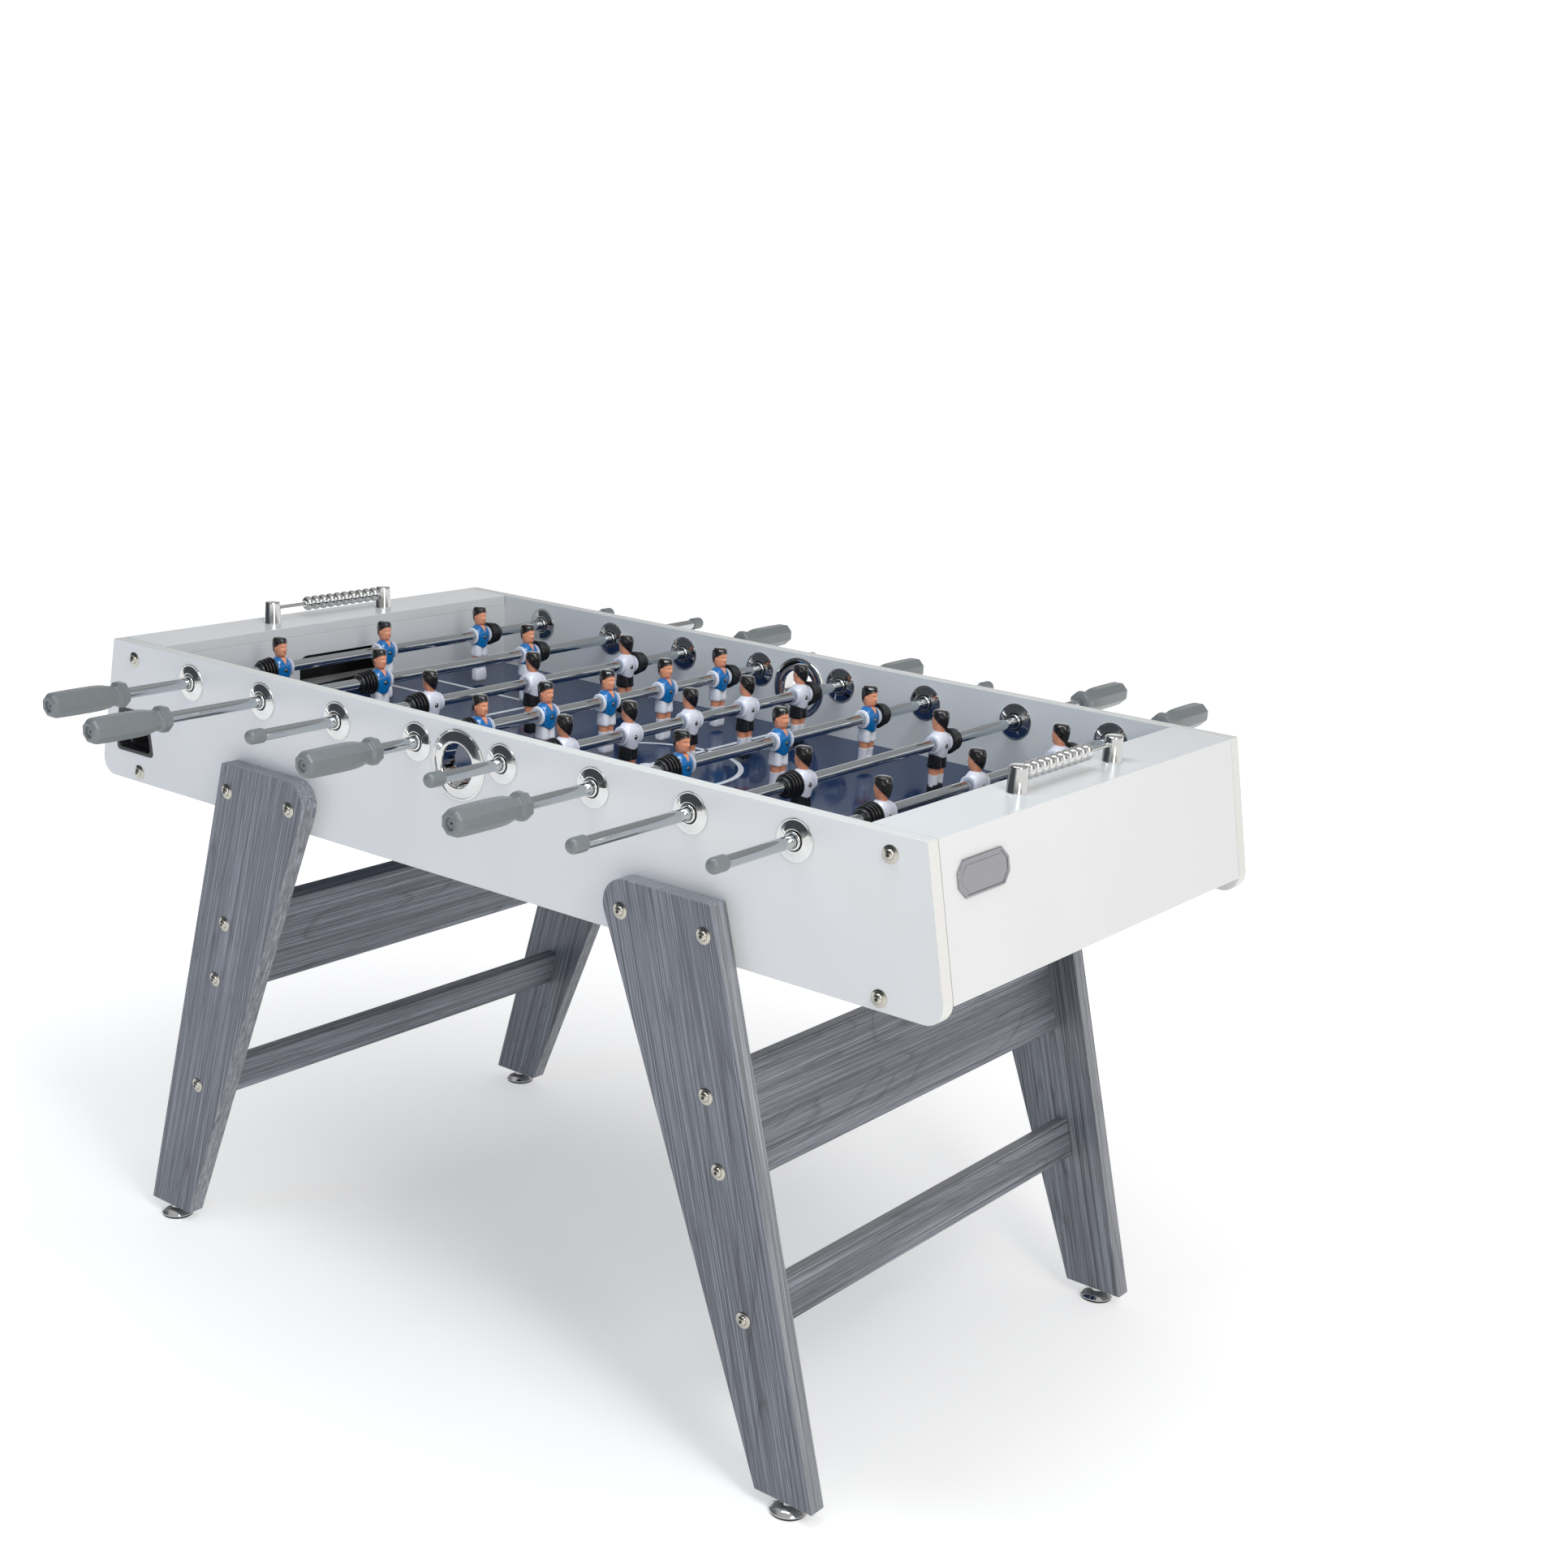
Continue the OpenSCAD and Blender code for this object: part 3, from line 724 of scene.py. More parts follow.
def make_entries():
    """The ball entries: a wide raised ring outside, a tube through the panel and a ring inside."""
    front, rear = side_panels()
    low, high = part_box("ball_entry_cups")
    z = (low.z + high.z) / 2
    rim = (high.z - low.z) / 2 / MM
    hole = 25
    dish = [(hole + 3, -18), (hole + 3, 0), (rim, 0), (rim, 0.9), (rim - 0.4, 1.3), (rim - 2.2, 1.6),
            (rim - 2.8, 1.3), (rim - 3.3, 1.6), (hole + 5.2, 4.5), (hole + 3.6, 4.95), (hole + 2.2, 4.7),
            (hole + 1.2, 3.8), (hole + 0.5, 2.0), (hole, -2.0), (hole, -18)]
    ring = [(hole, 0), (rim, 0), (rim, 0.8), (rim - 0.7, 1.9), (rim - 2.0, 2.7), (rim - 4.0, 3.0),
            (hole + 6, 2.4), (hole + 3.2, 1.9), (hole + 1.2, 1.4), (hole + 0.2, 0.7)]
    shape = Shape()
    for outer, inner, side in ((front[0].y, front[1].y, -1), (rear[1].y, rear[0].y, 1)):
        shape.add(lathe(dish, 96, True), 0, along_y(0, outer, z, side))
        shape.add(lathe(ring, 96, True), 0, along_y(0, inner, z, -side))
    piece("ball_entries", shape, [CHROME], ["ball_entry_cups"])


def make_ports():
    """The black frames of the ball returns: a lip on the face and a sleeve through the panel."""
    shape = Shape()
    low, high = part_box("ball_return_frames")
    for sign, panel in ((-1, "front_side_panel"), (1, "rear_side_panel")):
        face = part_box(panel)[0 if sign < 0 else 1].y
        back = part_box(panel)[1 if sign < 0 else 0].y
        outer, holes = outlines(["ball_return_frames"], 1, sign)[0]
        tip = low.y if sign < 0 else high.y
        holes = [simplify(h) for h in holes]
        shape.add(board(simplify(outer), holes, min(face, tip), max(face, tip), 0.5 * MM))
        sleeve = list(offset(holes[0], -2.9 * MM))
        shape.add(board(sleeve, holes, min(face, back), max(face, back), 0.3 * MM))
    piece("ball_return_ports", shape, [BLACK, BLACK], ["ball_return_frames"],
          flat=True)


LEG_EDGE = 1.1 * MM


def make_legs():
    """The slanted legs and the stretchers between them, with grain along each board."""
    for name in ("front_left_leg", "front_right_leg", "rear_left_leg", "rear_right_leg"):
        outer, _ = outlines([name], 1, -1)[0]
        foot = min(outer, key=lambda p: (round(p[1], 4), -abs(p[0])))
        top = max(outer, key=lambda p: (round(p[1], 3), abs(p[0])))
        along = (top[0] - foot[0], 0, top[1] - foot[1])
        start = (foot[0], 0.1 * len(name), foot[1])
        boards(f"{name}_board", [name], 1, -1 if name.startswith("front") else 1,
               [GREY_WOOD, GREY_EDGE], LEG_EDGE, (along, start))
    low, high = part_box("stretchers")
    for i, (outer, _) in enumerate(outlines(["stretchers"], 1, -1)):
        shape = Shape()
        shape.add(board(soften(simplify(outer), LEG_EDGE), [], low.y, high.y, 0.3 * MM))
        middle_x, middle_z = np.mean(outer, 0)
        shape.mats = [0] * len(shape.faces)
        made = piece(f"stretcher_{i + 1}", shape, [GREY_WOOD, GREY_EDGE],
                     ["stretchers"], grain=((0, 1, 0), (middle_x, 0.7 * i, middle_z)), flat=True)
        for p in made.data.polygons:
            if abs(p.normal.z) > 0.8:
                p.material_index = 1


BOLT = [(0, 5.35), (1.9, 5.3), (3.2, 5.0), (4.5, 4.35), (5.4, 3.5), (5.9, 2.6), (6.0, 2.0), (6.6, 1.75),
        (8.2, 1.25), (9.4, 0.9), (9.9, 0.55), (10, 0), (0, 0)]


def make_bolts():
    shape = Shape()
    for low, high in solids("assembly_bolts"):
        side = -1 if low.y + high.y < 0 else 1
        reach = (BOLT[0][1] + 0.25) * MM
        face = low.y + reach if side < 0 else high.y - reach
        centre = middle((low, high))
        place = along_y(centre.x, face, centre.z, side)
        shape.add(lathe(BOLT, 40), 0, place)
        # The hex socket is a thin black hexagon standing on the bolt's head: painted shade of its recess
        socket = [polygon_ring(2.1, z, 6, 0.1, 1) for z in (5.15, 5.42)]
        shape.add(loft(socket), 1, place)
        shape.add(lathe([(0, 0), (3.4, 0), (3.4, -24), (0, -24)], 20), 0, place)
    piece("bolts", shape, [NICKEL, SCREW_HOLE_PAINTED_SHADE], ["assembly_bolts"])


def make_levelers():
    """Screw feet: a black pad, a dished plate, a nut and a threaded stem."""
    for i in range(1, 5):
        low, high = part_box(f"leveler_{i}")
        r = (high.x - low.x) / 2 / MM
        top = (high.z - low.z) / MM
        pad = [(0, 0), (r - 2.0, 0), (r - 1.2, 0.6), (r - 1.0, 3.2), (0, 3.2)]
        plate = [(0, 3.2), (r - 0.6, 3.2), (r, 3.8), (r, 4.8), (r - 0.7, 5.4), (r - 3.2, 7.6), (r - 6, 9.4),
                 (r - 9.5, 10.7), (10.5, 11.4), (9.6, 12), (0, 12)]
        thread = [(0, 12)]
        z = 12.0
        while z < top - 1.6:
            thread += [(3.45, z), (4.0, z + 0.5)]
            z += 1.0
        thread += [(3.4, top - 0.6), (2.8, top), (0, top)]
        centre = middle((low, high))
        place = upright(centre.x, centre.y, low.z)
        shape = Shape()
        shape.add(lathe(pad, 56), 1, place)
        shape.add(lathe(plate, 56), 0, place)
        nut = [polygon_ring(radius, height, 6, 0.8, 2) for radius, height in
               ((7.6, 11.9), (8.2, 12.3), (8.2, 16.3), (7.6, 16.7))]
        shape.add(loft(nut), 0, place)
        shape.add(lathe(thread, 28), 0, place)
        piece(f"leveler_foot_piece_{i}", shape, [CHROME, RUBBER],
              [f"leveler_{i}"], f"leveler_foot_{i}")


# ---------------------------------------------------------------- score counters and badge

def make_scores():
    low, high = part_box("score_frames")
    post_r, base_z = 11.8, low.z
    post_h = (high.z - low.z) / MM
    post = [(0, 0), (post_r, 0), (post_r, 1.2), (post_r - 0.35, 1.8), (post_r - 1.2, post_h - 2.4),
            (post_r - 1.7, post_h - 1.0), (post_r - 2.8, post_h - 0.2), (post_r - 4, post_h), (0, post_h)]
    shape = Shape()
    for x in (low.x + post_r * MM, high.x - post_r * MM):
        ends = (low.y + post_r * MM, high.y - post_r * MM)
        for y in ends:
            shape.add(lathe(post, 56), 0, upright(x, y, base_z))
        bead_z = middle(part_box("left_score_beads")).z
        length = (ends[1] - ends[0]) / MM
        rod = [(0, 0), (2.4, 0), (2.4, length), (0, length)]
        shape.add(lathe(rod, 24), 0, along_y(x, ends[0], bead_z, 1))
    piece("score_posts", shape, [CHROME], ["score_frames"])
    for side in ("left", "right"):
        shape = Shape()
        for b_low, b_high in solids(f"{side}_score_beads"):
            centre = middle((b_low, b_high))
            half = (b_high.y - b_low.y) / 2 / MM
            r = (b_high.z - b_low.z) / 2 / MM
            arc = [(0.36 * r + 0.64 * r * math.cos(a), (half - 0.7) * math.sin(a))
                   for a in np.radians(np.arange(-80, 81, 16))]
            profile = [(2.5, -half), (0.42 * r, -half)] + arc + [(0.42 * r, half), (2.5, half)]
            shape.add(lathe(profile, 48, True), 0, along_y(centre.x, centre.y, centre.z, 1))
        piece(f"{side}_beads_piece", shape, [CHROME], [f"{side}_score_beads"], f"{side}_beads")


def make_badge():
    """A blank plate with cut corners, a raised rim and a plain raised field."""
    outer, _ = outlines(["right_end_panel"], 1, -1)[0]
    foot = max(outer, key=lambda p: p[0] - p[1])
    head = max(outer, key=lambda p: p[0] + 9 * p[1])
    lean = math.atan2(foot[0] - head[0], head[1] - foot[1])
    low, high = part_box("badge")
    centre = middle((low, high))
    width = (high.y - low.y) / MM
    thick = 3.0
    height = ((high.z - low.z) / MM - thick * math.sin(lean)) / math.cos(lean)
    x = head[0] + (head[1] - centre.z) * math.tan(lean)
    place = (Matrix.Translation((x, centre.y, centre.z)) @ Matrix.Rotation(-lean, 4, "Y")
             @ Matrix.Rotation(math.radians(90), 4, "Z") @ Matrix.Rotation(math.radians(90), 4, "X")
             @ Matrix.Scale(MM, 4))

    def octagon(inset):
        w, h, cut = width / 2 - inset, height / 2 - inset, 12 - 0.4 * inset
        return [np.array(p) for p in ((-w + cut, -h), (w - cut, -h), (w, -h + cut), (w, h - cut),
                                      (w - cut, h), (-w + cut, h), (-w, h - cut), (-w, -h + cut))]

    shape = Shape()
    shape.add(board(octagon(0), [], 0, 1.9, 0.5, 2), place=place)
    shape.add(board(octagon(0.2), [octagon(3.0)], 1.5, 2.95, 0.6, 2), place=place)
    shape.add(board(octagon(6.5), [], 1.5, 2.3, 0.4, 2), place=place)
    shape.mats = [0] * len(shape.faces)
    piece("blank_badge", shape, [PEWTER], ["badge"], flat=True)


# ---------------------------------------------------------------- rods, grips and bumpers

# Distance from the axis to the middle of the flats, and from the tip. The lengths are scaled to the handle's.
HANDLE = [(10.0, 0.1), (11.5, 0.7), (12.8, 1.9), (13.8, 3.5), (14.5, 5.8), (14.9, 9.0), (15.2, 20),
          (15.35, 40), (15.35, 60), (15.2, 74), (14.7, 84), (13.8, 91), (12.7, 96.5), (11.9, 100.5),
          (11.8, 103.2), (12.4, 104.6), (14.0, 106.0), (14.9, 106.9), (15.1, 107.6), (15.1, 108.4),
          (14.6, 108.8), (14.6, 109.2), (15.2, 109.6), (15.4, 110.4), (15.4, 117.6), (14.8, 119.2), (13.4, 120.6),
          (12.0, 121), (7.2, 121)]
HANDLE_DISH = [(1.5, 6.0), (1.5, 3.4), (1.8, 2.9), (5.9, 2.8), (6.5, 3.0), (7.0, 3.0), (7.2, 1.5), (7.6, 0.6),
               (8.6, 0.15)]


def handle_skin(length):
    """An eight-sided handle with a round dish in its end."""
    stretch = length / HANDLE[-1][1]
    flats = [np.array(polygon_ring(radius, z * stretch, 8, 0.8, 2)) for radius, z in HANDLE]
    turn = np.arctan2(flats[0][:, 1], flats[0][:, 0])
    dish = [np.stack([r * np.cos(turn), r * np.sin(turn), np.full(len(turn), z)], 1) for r, z in HANDLE_DISH]
    return loft(dish + flats)


def cap_profile(length):
    """A smooth cap with a domed tip."""
    dome = [(0, 0), (2.6, 0.15), (4.8, 0.8), (6.5, 1.9), (7.8, 3.5), (8.5, 5.2), (8.8, 7.2), (8.9, 9.5)]
    return dome + [(8.9, length - 2.0), (8.7, length - 0.9), (8.2, length - 0.2), (7.0, length)]


def make_rods():
    for k in RODS:
        low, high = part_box(f"rod_{k}")
        centre = middle((low, high))
        length = (high.y - low.y) / MM
        r = (high.x - low.x) / 2 / MM
        profile = [(r - 1.5, 0), (r, 0), (r, length), (r - 1.5, length)]
        shape = Shape().add(lathe(profile, 64, True), 0, along_y(centre.x, low.y, centre.z, 1))
        piece(f"rod_tube_{k}", shape, [ROD_STEEL], [f"rod_{k}"], f"rod_assembly_{k}")
        shape = Shape()
        cap, handle = cap_and_handle(k)
        side = 1 if middle(handle).y > 0 else -1
        tip = handle[1].y if side > 0 else handle[0].y
        place = along_y(centre.x, tip, centre.z, -side)
        shape.add(handle_skin((handle[1].y - handle[0].y) / MM), 0, place)
        tip = cap[0].y if side > 0 else cap[1].y
        place = along_y(centre.x, tip, centre.z, side)
        shape.add(lathe(cap_profile((cap[1].y - cap[0].y) / MM), 48), 0, place)
        piece(f"grips_piece_{k}", shape, [GRIP], [f"grips_{k}"], f"rod_assembly_{k}",
              flat=True)


def bumper_profile(length):
    """From the player outwards: four rounded ribs that get smaller, then a domed end with a ring."""
    profile = [(7.1, 0)]
    ribs, dome = 4, 5.0
    pitch = (length - dome) / ribs
    groove = 1.9
    for i in range(ribs):
        r, start = 16.5 - 0.8 * i, i * pitch
        half = (pitch - groove) / 2
        middle_z = start + half
        profile += [(r - 4.6, start)]
        profile += [(r - 1.9 + 1.9 * math.cos(a) ** 0.6, middle_z + half * math.sin(a))
                    for a in np.radians([-84, -62, -38, -14, 14, 38, 62, 84])]
        profile += [(r - 4.6, start + pitch - groove)]
    z, r = length - dome, 11.6
    profile += [(8.4 + (r - 8.4) * math.cos(a), z + (dome - 1.1) * math.sin(a))
                for a in np.radians([0, 25, 50, 70, 90])]
    profile += [(8.3, length - 0.5), (7.9, length), (7.1, length)]
    return profile


def make_bumpers():
    for k in RODS:
        centre = middle(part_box(f"rod_{k}"))
        boxes = sorted(solids(f"bumpers_{k}"), key=lambda b: b[0].y)
        shape = Shape()
        for (low, high), side in zip((boxes[0], boxes[-1]), (-1, 1)):
            start = high.y if side < 0 else low.y
            shape.add(lathe(bumper_profile((high.y - low.y) / MM), 56, True), 0,
                      along_y(centre.x, start, centre.z, side))
        piece(f"bumpers_piece_{k}", shape, [RUBBER], [f"bumpers_{k}"], f"rod_carrier_{k}")


# ---------------------------------------------------------------- players

JERSEY, CUFF, FLESH, CAP_HAIR, TROUSERS, SOCK, BOOT, SCREW, HOLE = range(9)
# Height, half depth, half width and boxiness of the jersey, from its collar to its hem
TORSO = [(15.6, 5.6, 5.6, 2.0), (15.2, 6.6, 6.8, 2.0), (14.0, 7.8, 8.4, 2.1), (12.2, 9.0, 10.6, 2.2),
         (10.0, 10.1, 12.6, 2.3), (7.0, 11.2, 14.1, 2.5), (3.5, 11.8, 14.9, 2.7), (0.0, 12.0, 15.1, 2.8),
         (-4.0, 11.8, 14.9, 2.8), (-8.0, 11.2, 14.2, 2.7), (-11.5, 10.6, 13.2, 2.6), (-14.0, 10.3, 12.4, 2.6),
         (-15.3, 10.1, 12.1, 2.6), (-15.8, 9.4, 11.4, 2.6), (-15.2, 7.0, 9.0, 2.6)]
HEM_DIP = 2.6
LEG_OFFSET = 5.75


def torso_rings(count=44):
    rings = []
    for z, depth, width, power in TORSO:
        ring = oval(depth, width, count, power, z=z)
        low = min(1.0, max(0.0, (2 - z) / 14))
        ring[:, 2] += low * (0.9 - HEM_DIP * (1 - np.minimum(1, np.abs(ring[:, 1]) / 12.0)) ** 0.8
                             + 2.2 * np.minimum(1, np.abs(ring[:, 1]) / 12.0) ** 2)
        rings.append(ring)
    return rings


def torso_front(y, z):
    """How far forward the jersey is at a height, near its middle."""
    heights = [t[0] for t in TORSO[:8]][::-1]
    depth, width, power = (np.interp(z, heights, [t[i] for t in TORSO[:8]][::-1]) for i in (1, 2, 3))
    return depth * max(0.0, 1 - (abs(y) / width) ** power) ** (1 / power)


def neck_patch():
    """The skin that shows in the neck of the jersey, in a V."""
    rows = []
    for i in range(9):
        z = 15.7 - 9.0 * i / 8
        w = 0.25 + 4.3 * (1 - i / 8) ** 0.9
        across = np.linspace(-w, w, 7)
        front = [(torso_front(y, z) + 0.3, y, z) for y in across]
        back = [(torso_front(y, z) - 1.2, y, z) for y in across[::-1]]
        rows.append(front + back)
    return loft(rows)


# Height, half depth, half width and how far forward the head is, from the neck up
HEAD = [(12.5, 5.4, 5.4, -0.8), (15.5, 5.5, 5.4, -0.8), (16.6, 6.6, 5.7, 0.0), (17.6, 8.0, 6.3, 0.8),
        (19.5, 8.9, 6.9, 0.9), (22.0, 9.5, 7.4, 0.7), (25.0, 10.0, 7.8, 0.4), (28.0, 10.3, 8.0, 0.2),
        (32.0, 10.5, 8.1, 0.0), (36.0, 10.3, 7.9, -0.1), (39.0, 9.2, 7.0, -0.1), (40.4, 7.6, 5.6, -0.1),
        (41.0, 5.0, 3.8, -0.1)]


def bell(x, at, width):
    return np.exp(-((x - at) / width) ** 2)


def head_radius(angle, z):
    """Distance of the head's surface from its axis, with nose, brow, eyes, mouth, chin and ears."""
    heights = [h[0] for h in HEAD]
    depth, width = (np.interp(z, heights, [h[i] for h in HEAD]) for i in (1, 2))
    r = depth * width / np.sqrt((width * np.cos(angle)) ** 2 + (depth * np.sin(angle)) ** 2)
    nose = np.interp(z, [22.9, 24.0, 25.2, 27.5, 30.0, 31.5], [0, 1.7, 2.3, 1.5, 0.7, 0])
    r += nose * bell(angle, 0, 0.13 + 0.05 * bell(z, 24.6, 1.2))
    r += 0.65 * bell(z, 31.0, 1.0) * bell(angle, 0, 0.65)
    for s in (-1, 1):
        r += -0.85 * bell(z, 29.0, 1.25) * bell(angle, 0.35 * s, 0.17)
        r += 0.25 * bell(z, 25.6, 1.6) * bell(angle, 0.62 * s, 0.25)
        r += 1.5 * bell(z, 27.2, 2.3) * bell(angle, 1.68 * s, 0.17)
    r += 0.45 * bell(z, 21.6, 1.0) * bell(angle, 0, 0.30) - 0.6 * bell(z, 21.6, 0.38) * bell(angle, 0, 0.28)
    r += -0.35 * bell(z, 19.9, 0.6) * bell(angle, 0, 0.3) + 0.55 * bell(z, 18.3, 1.1) * bell(angle, 0, 0.34)
    return r


def head_point(angle, z, out=0.0):
    forward = np.interp(z, [h[0] for h in HEAD], [h[3] for h in HEAD])
    r = head_radius(angle, z) + out
    return (forward + r * math.cos(angle), r * math.sin(angle), z)


def angles(count):
    a = np.arange(count) * 2 * math.pi / count
    return np.where(a > math.pi, a - 2 * math.pi, a)


def head(count=60):
    heights = np.concatenate([np.arange(12.5, 40.5, 1.0), [40.6, 41.0]])
    return loft([[head_point(a, z) for a in angles(count)] for z in heights])


def hairline(angle):
    """Height of the hair's edge: across the forehead, then slanting down to a point at the nape."""
    a = abs(angle)
    return np.interp(a, [0, 0.4, 0.8, 1.2, 1.55, math.pi], [35.0, 34.9, 33.6, 31.4, 29.6, 17.6])


def hair(count=60):
    crown, top = 39.2, 42.0
    rings = [[head_point(a, float(hairline(a)), -0.5) for a in angles(count)]]
    for thick, lift in ((0.55, 0.0), (0.95, 0.25), (1.05, 0.8)):
        rings.append([head_point(a, float(hairline(a)) + lift, thick) for a in angles(count)])
    for t in (0.2, 0.35, 0.5, 0.65, 0.8, 0.9, 1.0):
        ring = []
        for a in angles(count):
            z = float(hairline(a)) + 0.8 + (crown - float(hairline(a)) - 0.8) * t
            wave = 0.30 * math.sin(7 * a + 0.9 * z) * bell(z, 36.5, 3.0)
            groove = -0.55 * bell(z, 36.2 + 0.5 * math.sin(3 * a), 0.7) + 0.35 * bell(z, 38.2, 1.0)
            ring.append(head_point(a, z, 1.05 + wave + groove))
        rings.append(ring)
    edge = np.array(rings[-1])
    centre = edge.mean(0)
    for a in np.radians([25, 45, 62, 76]):
        ring = centre + (edge - centre) * math.cos(a) ** 0.55
        ring[:, 2] = crown + (top - crown) * math.sin(a)
        ring[:, 2] += 0.18 * np.sin(ring[:, 0] * 1.3 + 0.6 * ring[:, 1]) * math.cos(a)
        rings.append(ring)
    return loft(rings)


def leg_rings(side, rows, count=26):
    y = side * LEG_OFFSET
    return [oval(depth, width, count, power, forward, y, z) for z, depth, width, forward, power in rows]


SHORTS = [(-8, 7.4, 5.4, 0, 2.6), (-15, 8.3, 5.9, 0, 2.7), (-22, 8.8, 6.1, 0.1, 2.8),
          (-27.5, 9.2, 6.25, 0.2, 2.8), (-29.6, 9.3, 6.3, 0.2, 2.8), (-30.2, 8.9, 5.9, 0.2, 2.8),
          (-30.0, 7.4, 4.8, 0.2, 2.6)]
SHIN = [(-28, 6.9, 5.0, 0.2, 2.3), (-31, 6.8, 5.0, 0.2, 2.3), (-35, 6.5, 4.9, 0.3, 2.3),
        (-39.8, 6.1, 4.8, 0.2, 2.3)]
SOCKS = [(-38.8, 5.9, 4.5, 0.2, 2.3), (-38.9, 6.6, 5.15, 0.2, 2.3), (-39.4, 6.8, 5.3, 0.2, 2.3),
         (-41.0, 6.6, 5.2, 0.1, 2.3), (-45, 6.3, 5.1, 0.0, 2.4), (-49, 6.0, 5.1, 0.0, 2.6),
         (-54, 5.8, 5.0, 0.0, 2.8)]
FOOT = [(-49.2, 4.6, 8.6, 0, 3), (-49.9, 5.9, 10.0, 0.1, 4), (-51.5, 6.4, 10.5, 0.3, 5),
        (-58, 6.6, 10.6, 0.5, 5.5), (-64, 6.6, 10.6, 0.5, 5.5), (-66.2, 6.3, 10.3, 0.4, 5),
        (-67.4, 5.4, 9.4, 0.3, 4.5), (-68, 3.9, 7.8, 0.2, 4)]
CUFF_RING = [(7.15, 13.2), (11.3, 13.2), (11.9, 13.7), (11.8, 14.5), (11.2, 15.2), (10.6, 15.5), (9.9, 15.5),
             (9.7, 15.0), (9.3, 14.9), (8.9, 15.2), (8.3, 15.2), (8.0, 14.7), (7.15, 14.7)]


def screw_head():
    """A round cross-head screw in a dark ring, standing along +X. The dark ring and the cross are painted shade
    of its hole and its slots.
    """
    shape = Shape()
    # The dark ring round the head is painted shade of the hole the screw sits in
    ring = [(0, 0), (2.95, 0), (2.95, 0.55), (2.55, 0.75), (2.35, 0.35), (0, 0.35)]
    shape.add(lathe(ring, 24), HOLE)
    dome = [(0, 1.25), (0.9, 1.2), (1.6, 1.0), (2.05, 0.7), (2.2, 0.3), (0, 0.3)]
    shape.add(lathe(dome, 24), SCREW)
    # The cross is two thin black bars standing on the dome: painted shade of the recessed slots
    corners = ((-1.5, -0.28), (1.5, -0.28), (1.5, 0.28), (-1.5, 0.28))
    for turn in (0, 90):
        bar = [[(x, y, z) for x, y in corners] for z in (0.9, 1.3)]
        shape.add(loft(bar), HOLE, Matrix.Rotation(math.radians(turn + 20), 4, "Z"))
    return shape.points, shape.faces, shape.mats


def man(facing):
    """One player in millimetres, with the rod along Y. The screw is always on the +X side."""
    body = Shape()
    body.add(loft(torso_rings()), JERSEY)
    body.add(neck_patch(), FLESH)
    body.add(head(), FLESH)
    body.add(hair(), CAP_HAIR)
    for s in (-1, 1):
        body.add(lathe(CUFF_RING, 40, True), CUFF, Matrix.Rotation(math.radians(-90 * s), 4, "X"))
        body.add(loft(leg_rings(s, SHORTS)), TROUSERS)
        body.add(loft(leg_rings(s, SHIN)), FLESH)
        body.add(loft(leg_rings(s, SOCKS)), SOCK)
    body.add(loft([oval(d, w, 36, p, f, 0, z) for z, d, w, f, p in FOOT]), BOOT)
    turned = Shape()
    turn = Matrix.Rotation(0 if facing > 0 else math.pi, 4, "Z")
    turned.add((body.points, body.faces, body.mats), place=turn)
    turned.add(screw_head(), place=Matrix.Translation((11.6, 0, -1.5)) @ Matrix.Rotation(math.pi / 2, 4, "Y"))
    return turned.points, turned.faces, turned.mats


def make_players():
    blue = [BLUE, TRIM, SKIN, HAIR, TRIM, TRIM, TRIM, NICKEL, SCREW_HOLE_PAINTED_SHADE]
    white = [SHIRT, SHIRT, SKIN, HAIR, SHORTS_BLACK, TRIM, SHORTS_BLACK, NICKEL, SCREW_HOLE_PAINTED_SHADE]
    shapes = {1: man(1), -1: man(-1)}
    for k in RODS:
        centre = middle(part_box(f"rod_{k}"))
        facing = 1 if middle(cap_and_handle(k)[1]).y < 0 else -1
        shape = Shape()
        for low, high in solids(f"players_{k}"):
            shape.add(shapes[facing], place=upright(centre.x, (low.y + high.y) / 2, centre.z))
        piece(f"players_piece_{k}", shape, blue if facing > 0 else white,
              [f"players_{k}"],
              f"rod_assembly_{k}", crease=50)


# ---------------------------------------------------------------- floor, light and camera

AZIMUTH, ELEVATION, ROLL = 38.238, 20.063, 2.758
AIM = Vector((0.0992, 0.0, 0.4218))
DISTANCE = 2.8195
LENS, SHIFT_X, SHIFT_Y = 49.21, 0.0559, 0.1317


def make_camera():
    data = bpy.data.cameras.new("camera")
    data.lens, data.sensor_width = LENS, 36
    data.shift_x, data.shift_y = SHIFT_X, SHIFT_Y
    data.clip_start, data.clip_end = 0.05, 60
    cam = add_object("camera", data)
    a, e = math.radians(AZIMUTH), math.radians(ELEVATION)
    back = Vector((math.sin(a) * math.cos(e), -math.cos(a) * math.cos(e), math.sin(e)))
    right = (-back).cross(Vector((0, 0, 1))).normalized()
    up = back.cross(right)
    roll = math.radians(ROLL)
    x_axis = right * math.cos(roll) + up * math.sin(roll)
    y_axis = up * math.cos(roll) - right * math.sin(roll)
    turn = Matrix((x_axis, y_axis, back)).transposed().to_4x4()
    cam.matrix_world = Matrix.Translation(AIM + back * DISTANCE) @ turn
    bpy.context.scene.camera = cam


def aim(lamp, direction):
    lamp.rotation_mode = "QUATERNION"
    lamp.rotation_quaternion = direction.to_track_quat("-Z", "Y")


def area_light(name, place, target, size, power, colour=(1, 1, 1)):
    data = bpy.data.lights.new(name, "AREA")
    data.shape = "RECTANGLE"
    data.size, data.size_y = size
    data.energy, data.color = power, colour
    lamp = add_object(name, data)
    lamp.location = place
    lamp.visible_camera = False
    aim(lamp, Vector(target) - Vector(place))
    return lamp


# Light that the floor gives off under the table and away from it; the dimmer glow under the table is a painted
# shadow
FLOOR_GLOW_AND_PAINTED_SHADOW = (0.36, 0.74)
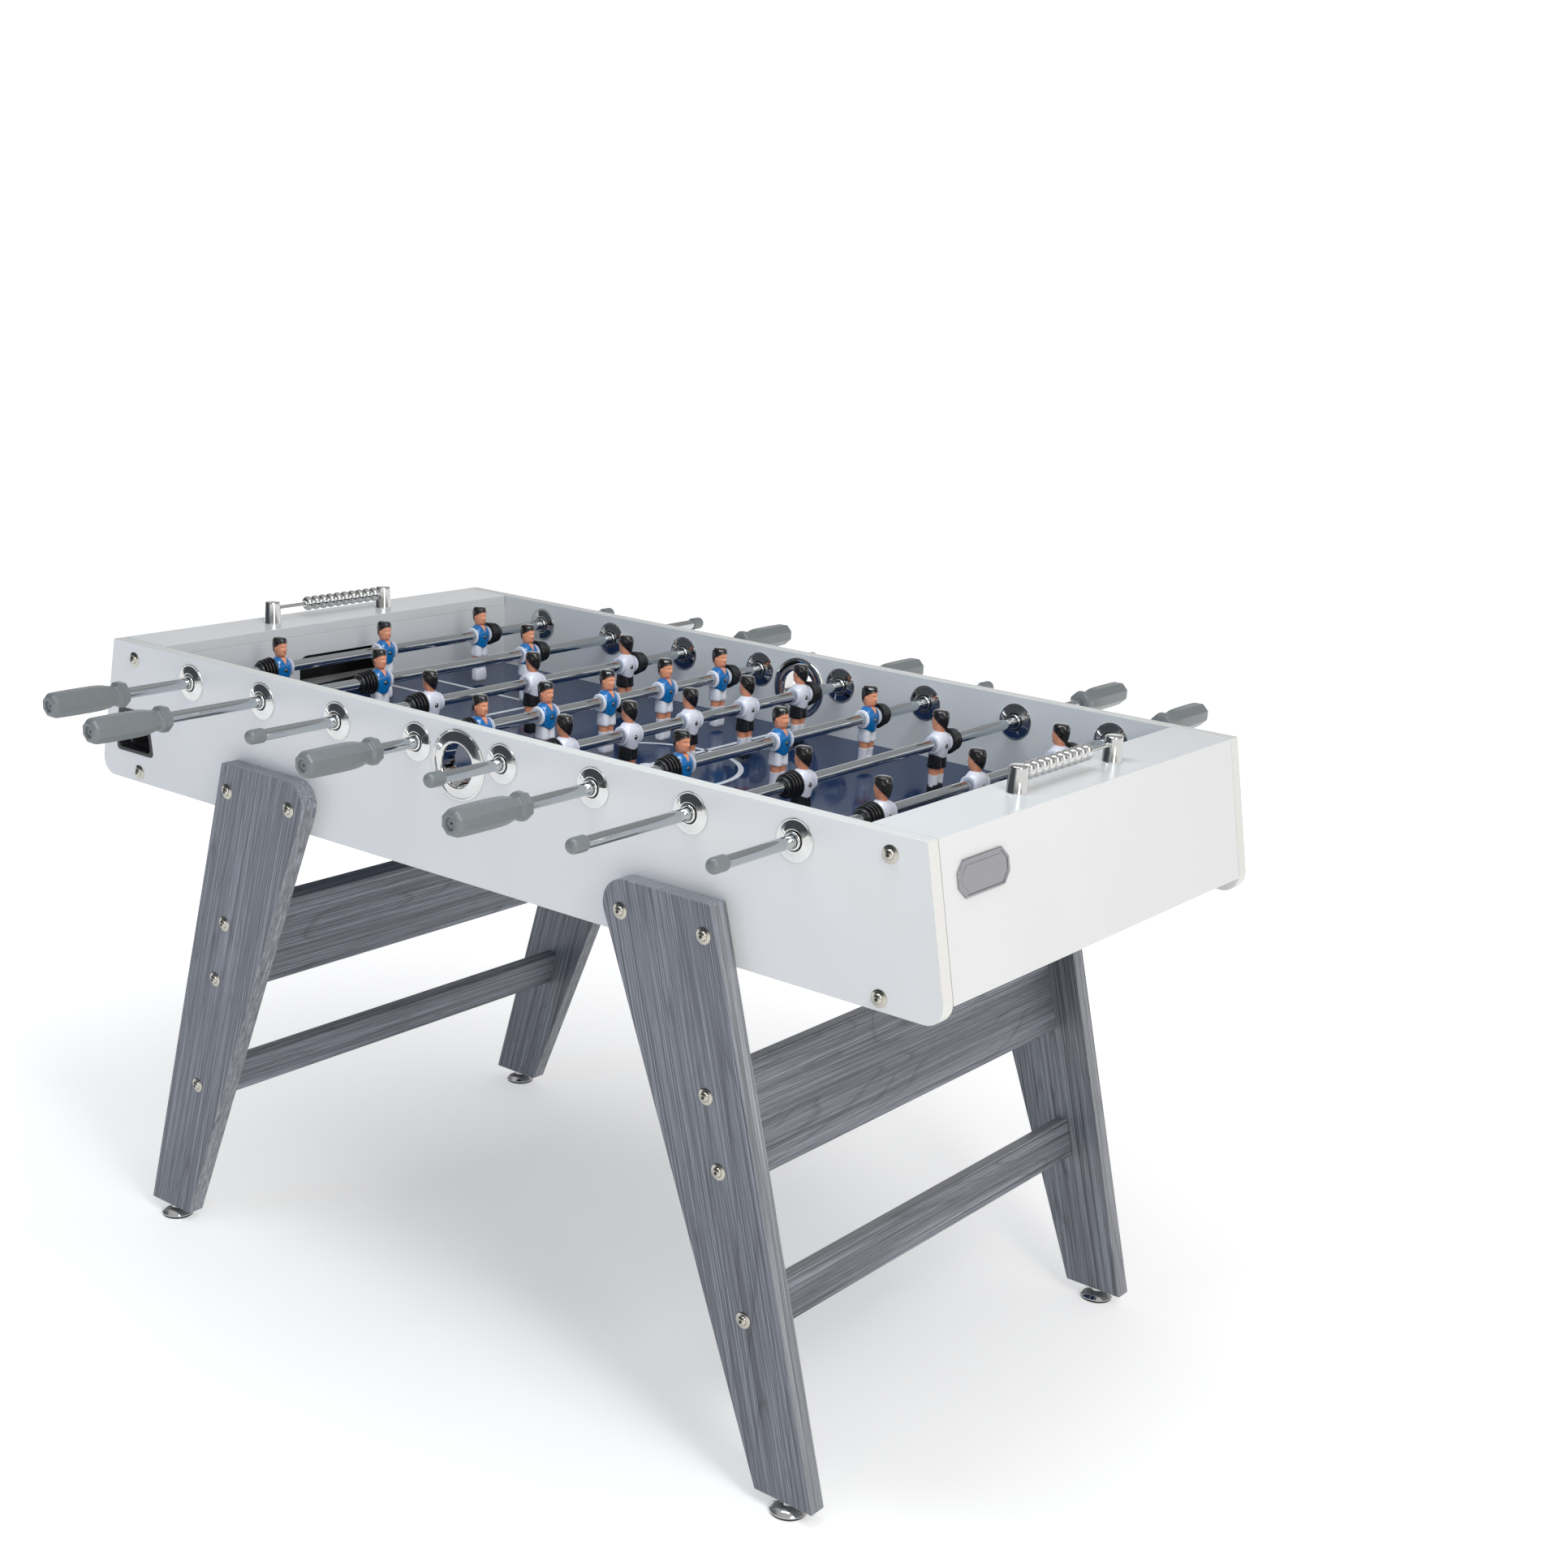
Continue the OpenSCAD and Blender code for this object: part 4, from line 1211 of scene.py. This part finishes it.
# Brightness of the studio by the sine of the height above the horizon, on its dark and its bright side
DARK_SIDE = [(0.0, 0.30), (0.03, 0.14), (0.10, 0.09), (0.70, 0.09), (0.80, 0.50), (1.0, 0.60)]
BRIGHT_SIDE = [(0.0, 1.02), (0.20, 1.02), (0.30, 0.36), (0.70, 0.40), (0.80, 0.50), (1.0, 0.60)]
DARK_TINT = (0.84, 0.94, 1.08)
# X + Y of a direction where the dark side ends, and where the bright side is whole
DARK_SECTOR = (-1.15, -0.65)


def studio():
    """A pale band at the horizon, soft light overhead and from one side, and dark between on the other."""
    world = bpy.data.worlds.new("studio")
    world.use_nodes = True
    n = Tree(world.node_tree)
    split = n.new("ShaderNodeSeparateXYZ")
    n.link(n.new("ShaderNodeTexCoord").outputs["Generated"], split.inputs[0])
    across = n.new("ShaderNodeMath", operation="ADD")
    n.link(split.outputs["X"], across.inputs[0])
    n.link(split.outputs["Y"], across.inputs[1])
    spread = n.new("ShaderNodeMapRange")
    spread.inputs["From Min"].default_value, spread.inputs["From Max"].default_value = DARK_SECTOR
    n.link(across.outputs[0], spread.inputs["Value"])
    dark = [(at, tuple(grey * c for c in DARK_TINT)) for at, grey in DARK_SIDE]
    height = split.outputs["Z"]
    sky = n.mix(spread.outputs["Result"], n.ramp(height, *dark), n.ramp(height, *BRIGHT_SIDE))
    n.link(sky, n.tree.nodes["Background"].inputs["Color"])
    return world


def make_stage():
    n = Nodes("stage_floor")
    n.colour(n.ramp(n.noise(3, 3), (0.3, (0.79, 0.79, 0.79)), (0.7, (0.81, 0.81, 0.81))))
    n.set(Roughness=0.8, Emission_Color=(1, 1, 1, 1))
    # The floor glows less near the table than away from it: a painted shadow pool under the table
    away = n.new("ShaderNodeVectorMath", operation="LENGTH")
    n.link(n.coordinates((0.42, 0.50, 1)), away.inputs[0])
    glow_and_painted_shadow = n.ramp(away.outputs["Value"], (0.15, FLOOR_GLOW_AND_PAINTED_SHADOW[0]), (0.85, FLOOR_GLOW_AND_PAINTED_SHADOW[1]))
    n.link(glow_and_painted_shadow, n.shader.inputs["Emission Strength"])
    mesh = bpy.data.meshes.new("floor")
    size = 60.0
    corners = [(-size, -size, 0), (size, -size, 0), (size, size, 0), (-size, size, 0)]
    mesh.from_pydata(corners, [], [[0, 1, 2, 3]])
    mesh.materials.append(n.material)
    floor = add_object("floor", mesh)

    bpy.context.scene.world = studio()

    sun = bpy.data.lights.new("key", "SUN")
    sun.energy, sun.angle = 0.3, math.radians(28)
    aim(add_object("key", sun), Vector((-0.75, 0.25, -1.0)))
    area_light("right_light", (2.4, -1.2, 2.0), (0.4, 0, 0.7), (0.5, 1.4), 20, (1.0, 0.97, 0.90))
    fill = area_light("front_fill", (-1.5, -3.0, 1.5), (-0.1, 0, 0.6), (1.2, 1.2), 9, (0.25, 0.50, 1.0))
    fill.visible_glossy = False
    area_light("over_front", (0.35, -0.5, 1.75), (0.1, 0.35, 0.7), (0.9, 0.25), 8, (0.82, 0.92, 1.0))
    bpy.context.scene.view_settings.view_transform = "Standard"


make_cabinet()
make_field_lines()
make_bearings()
make_entries()
make_ports()
make_legs()
make_bolts()
make_levelers()
make_scores()
make_badge()
make_rods()
make_bumpers()
make_players()
make_stage()
make_camera()
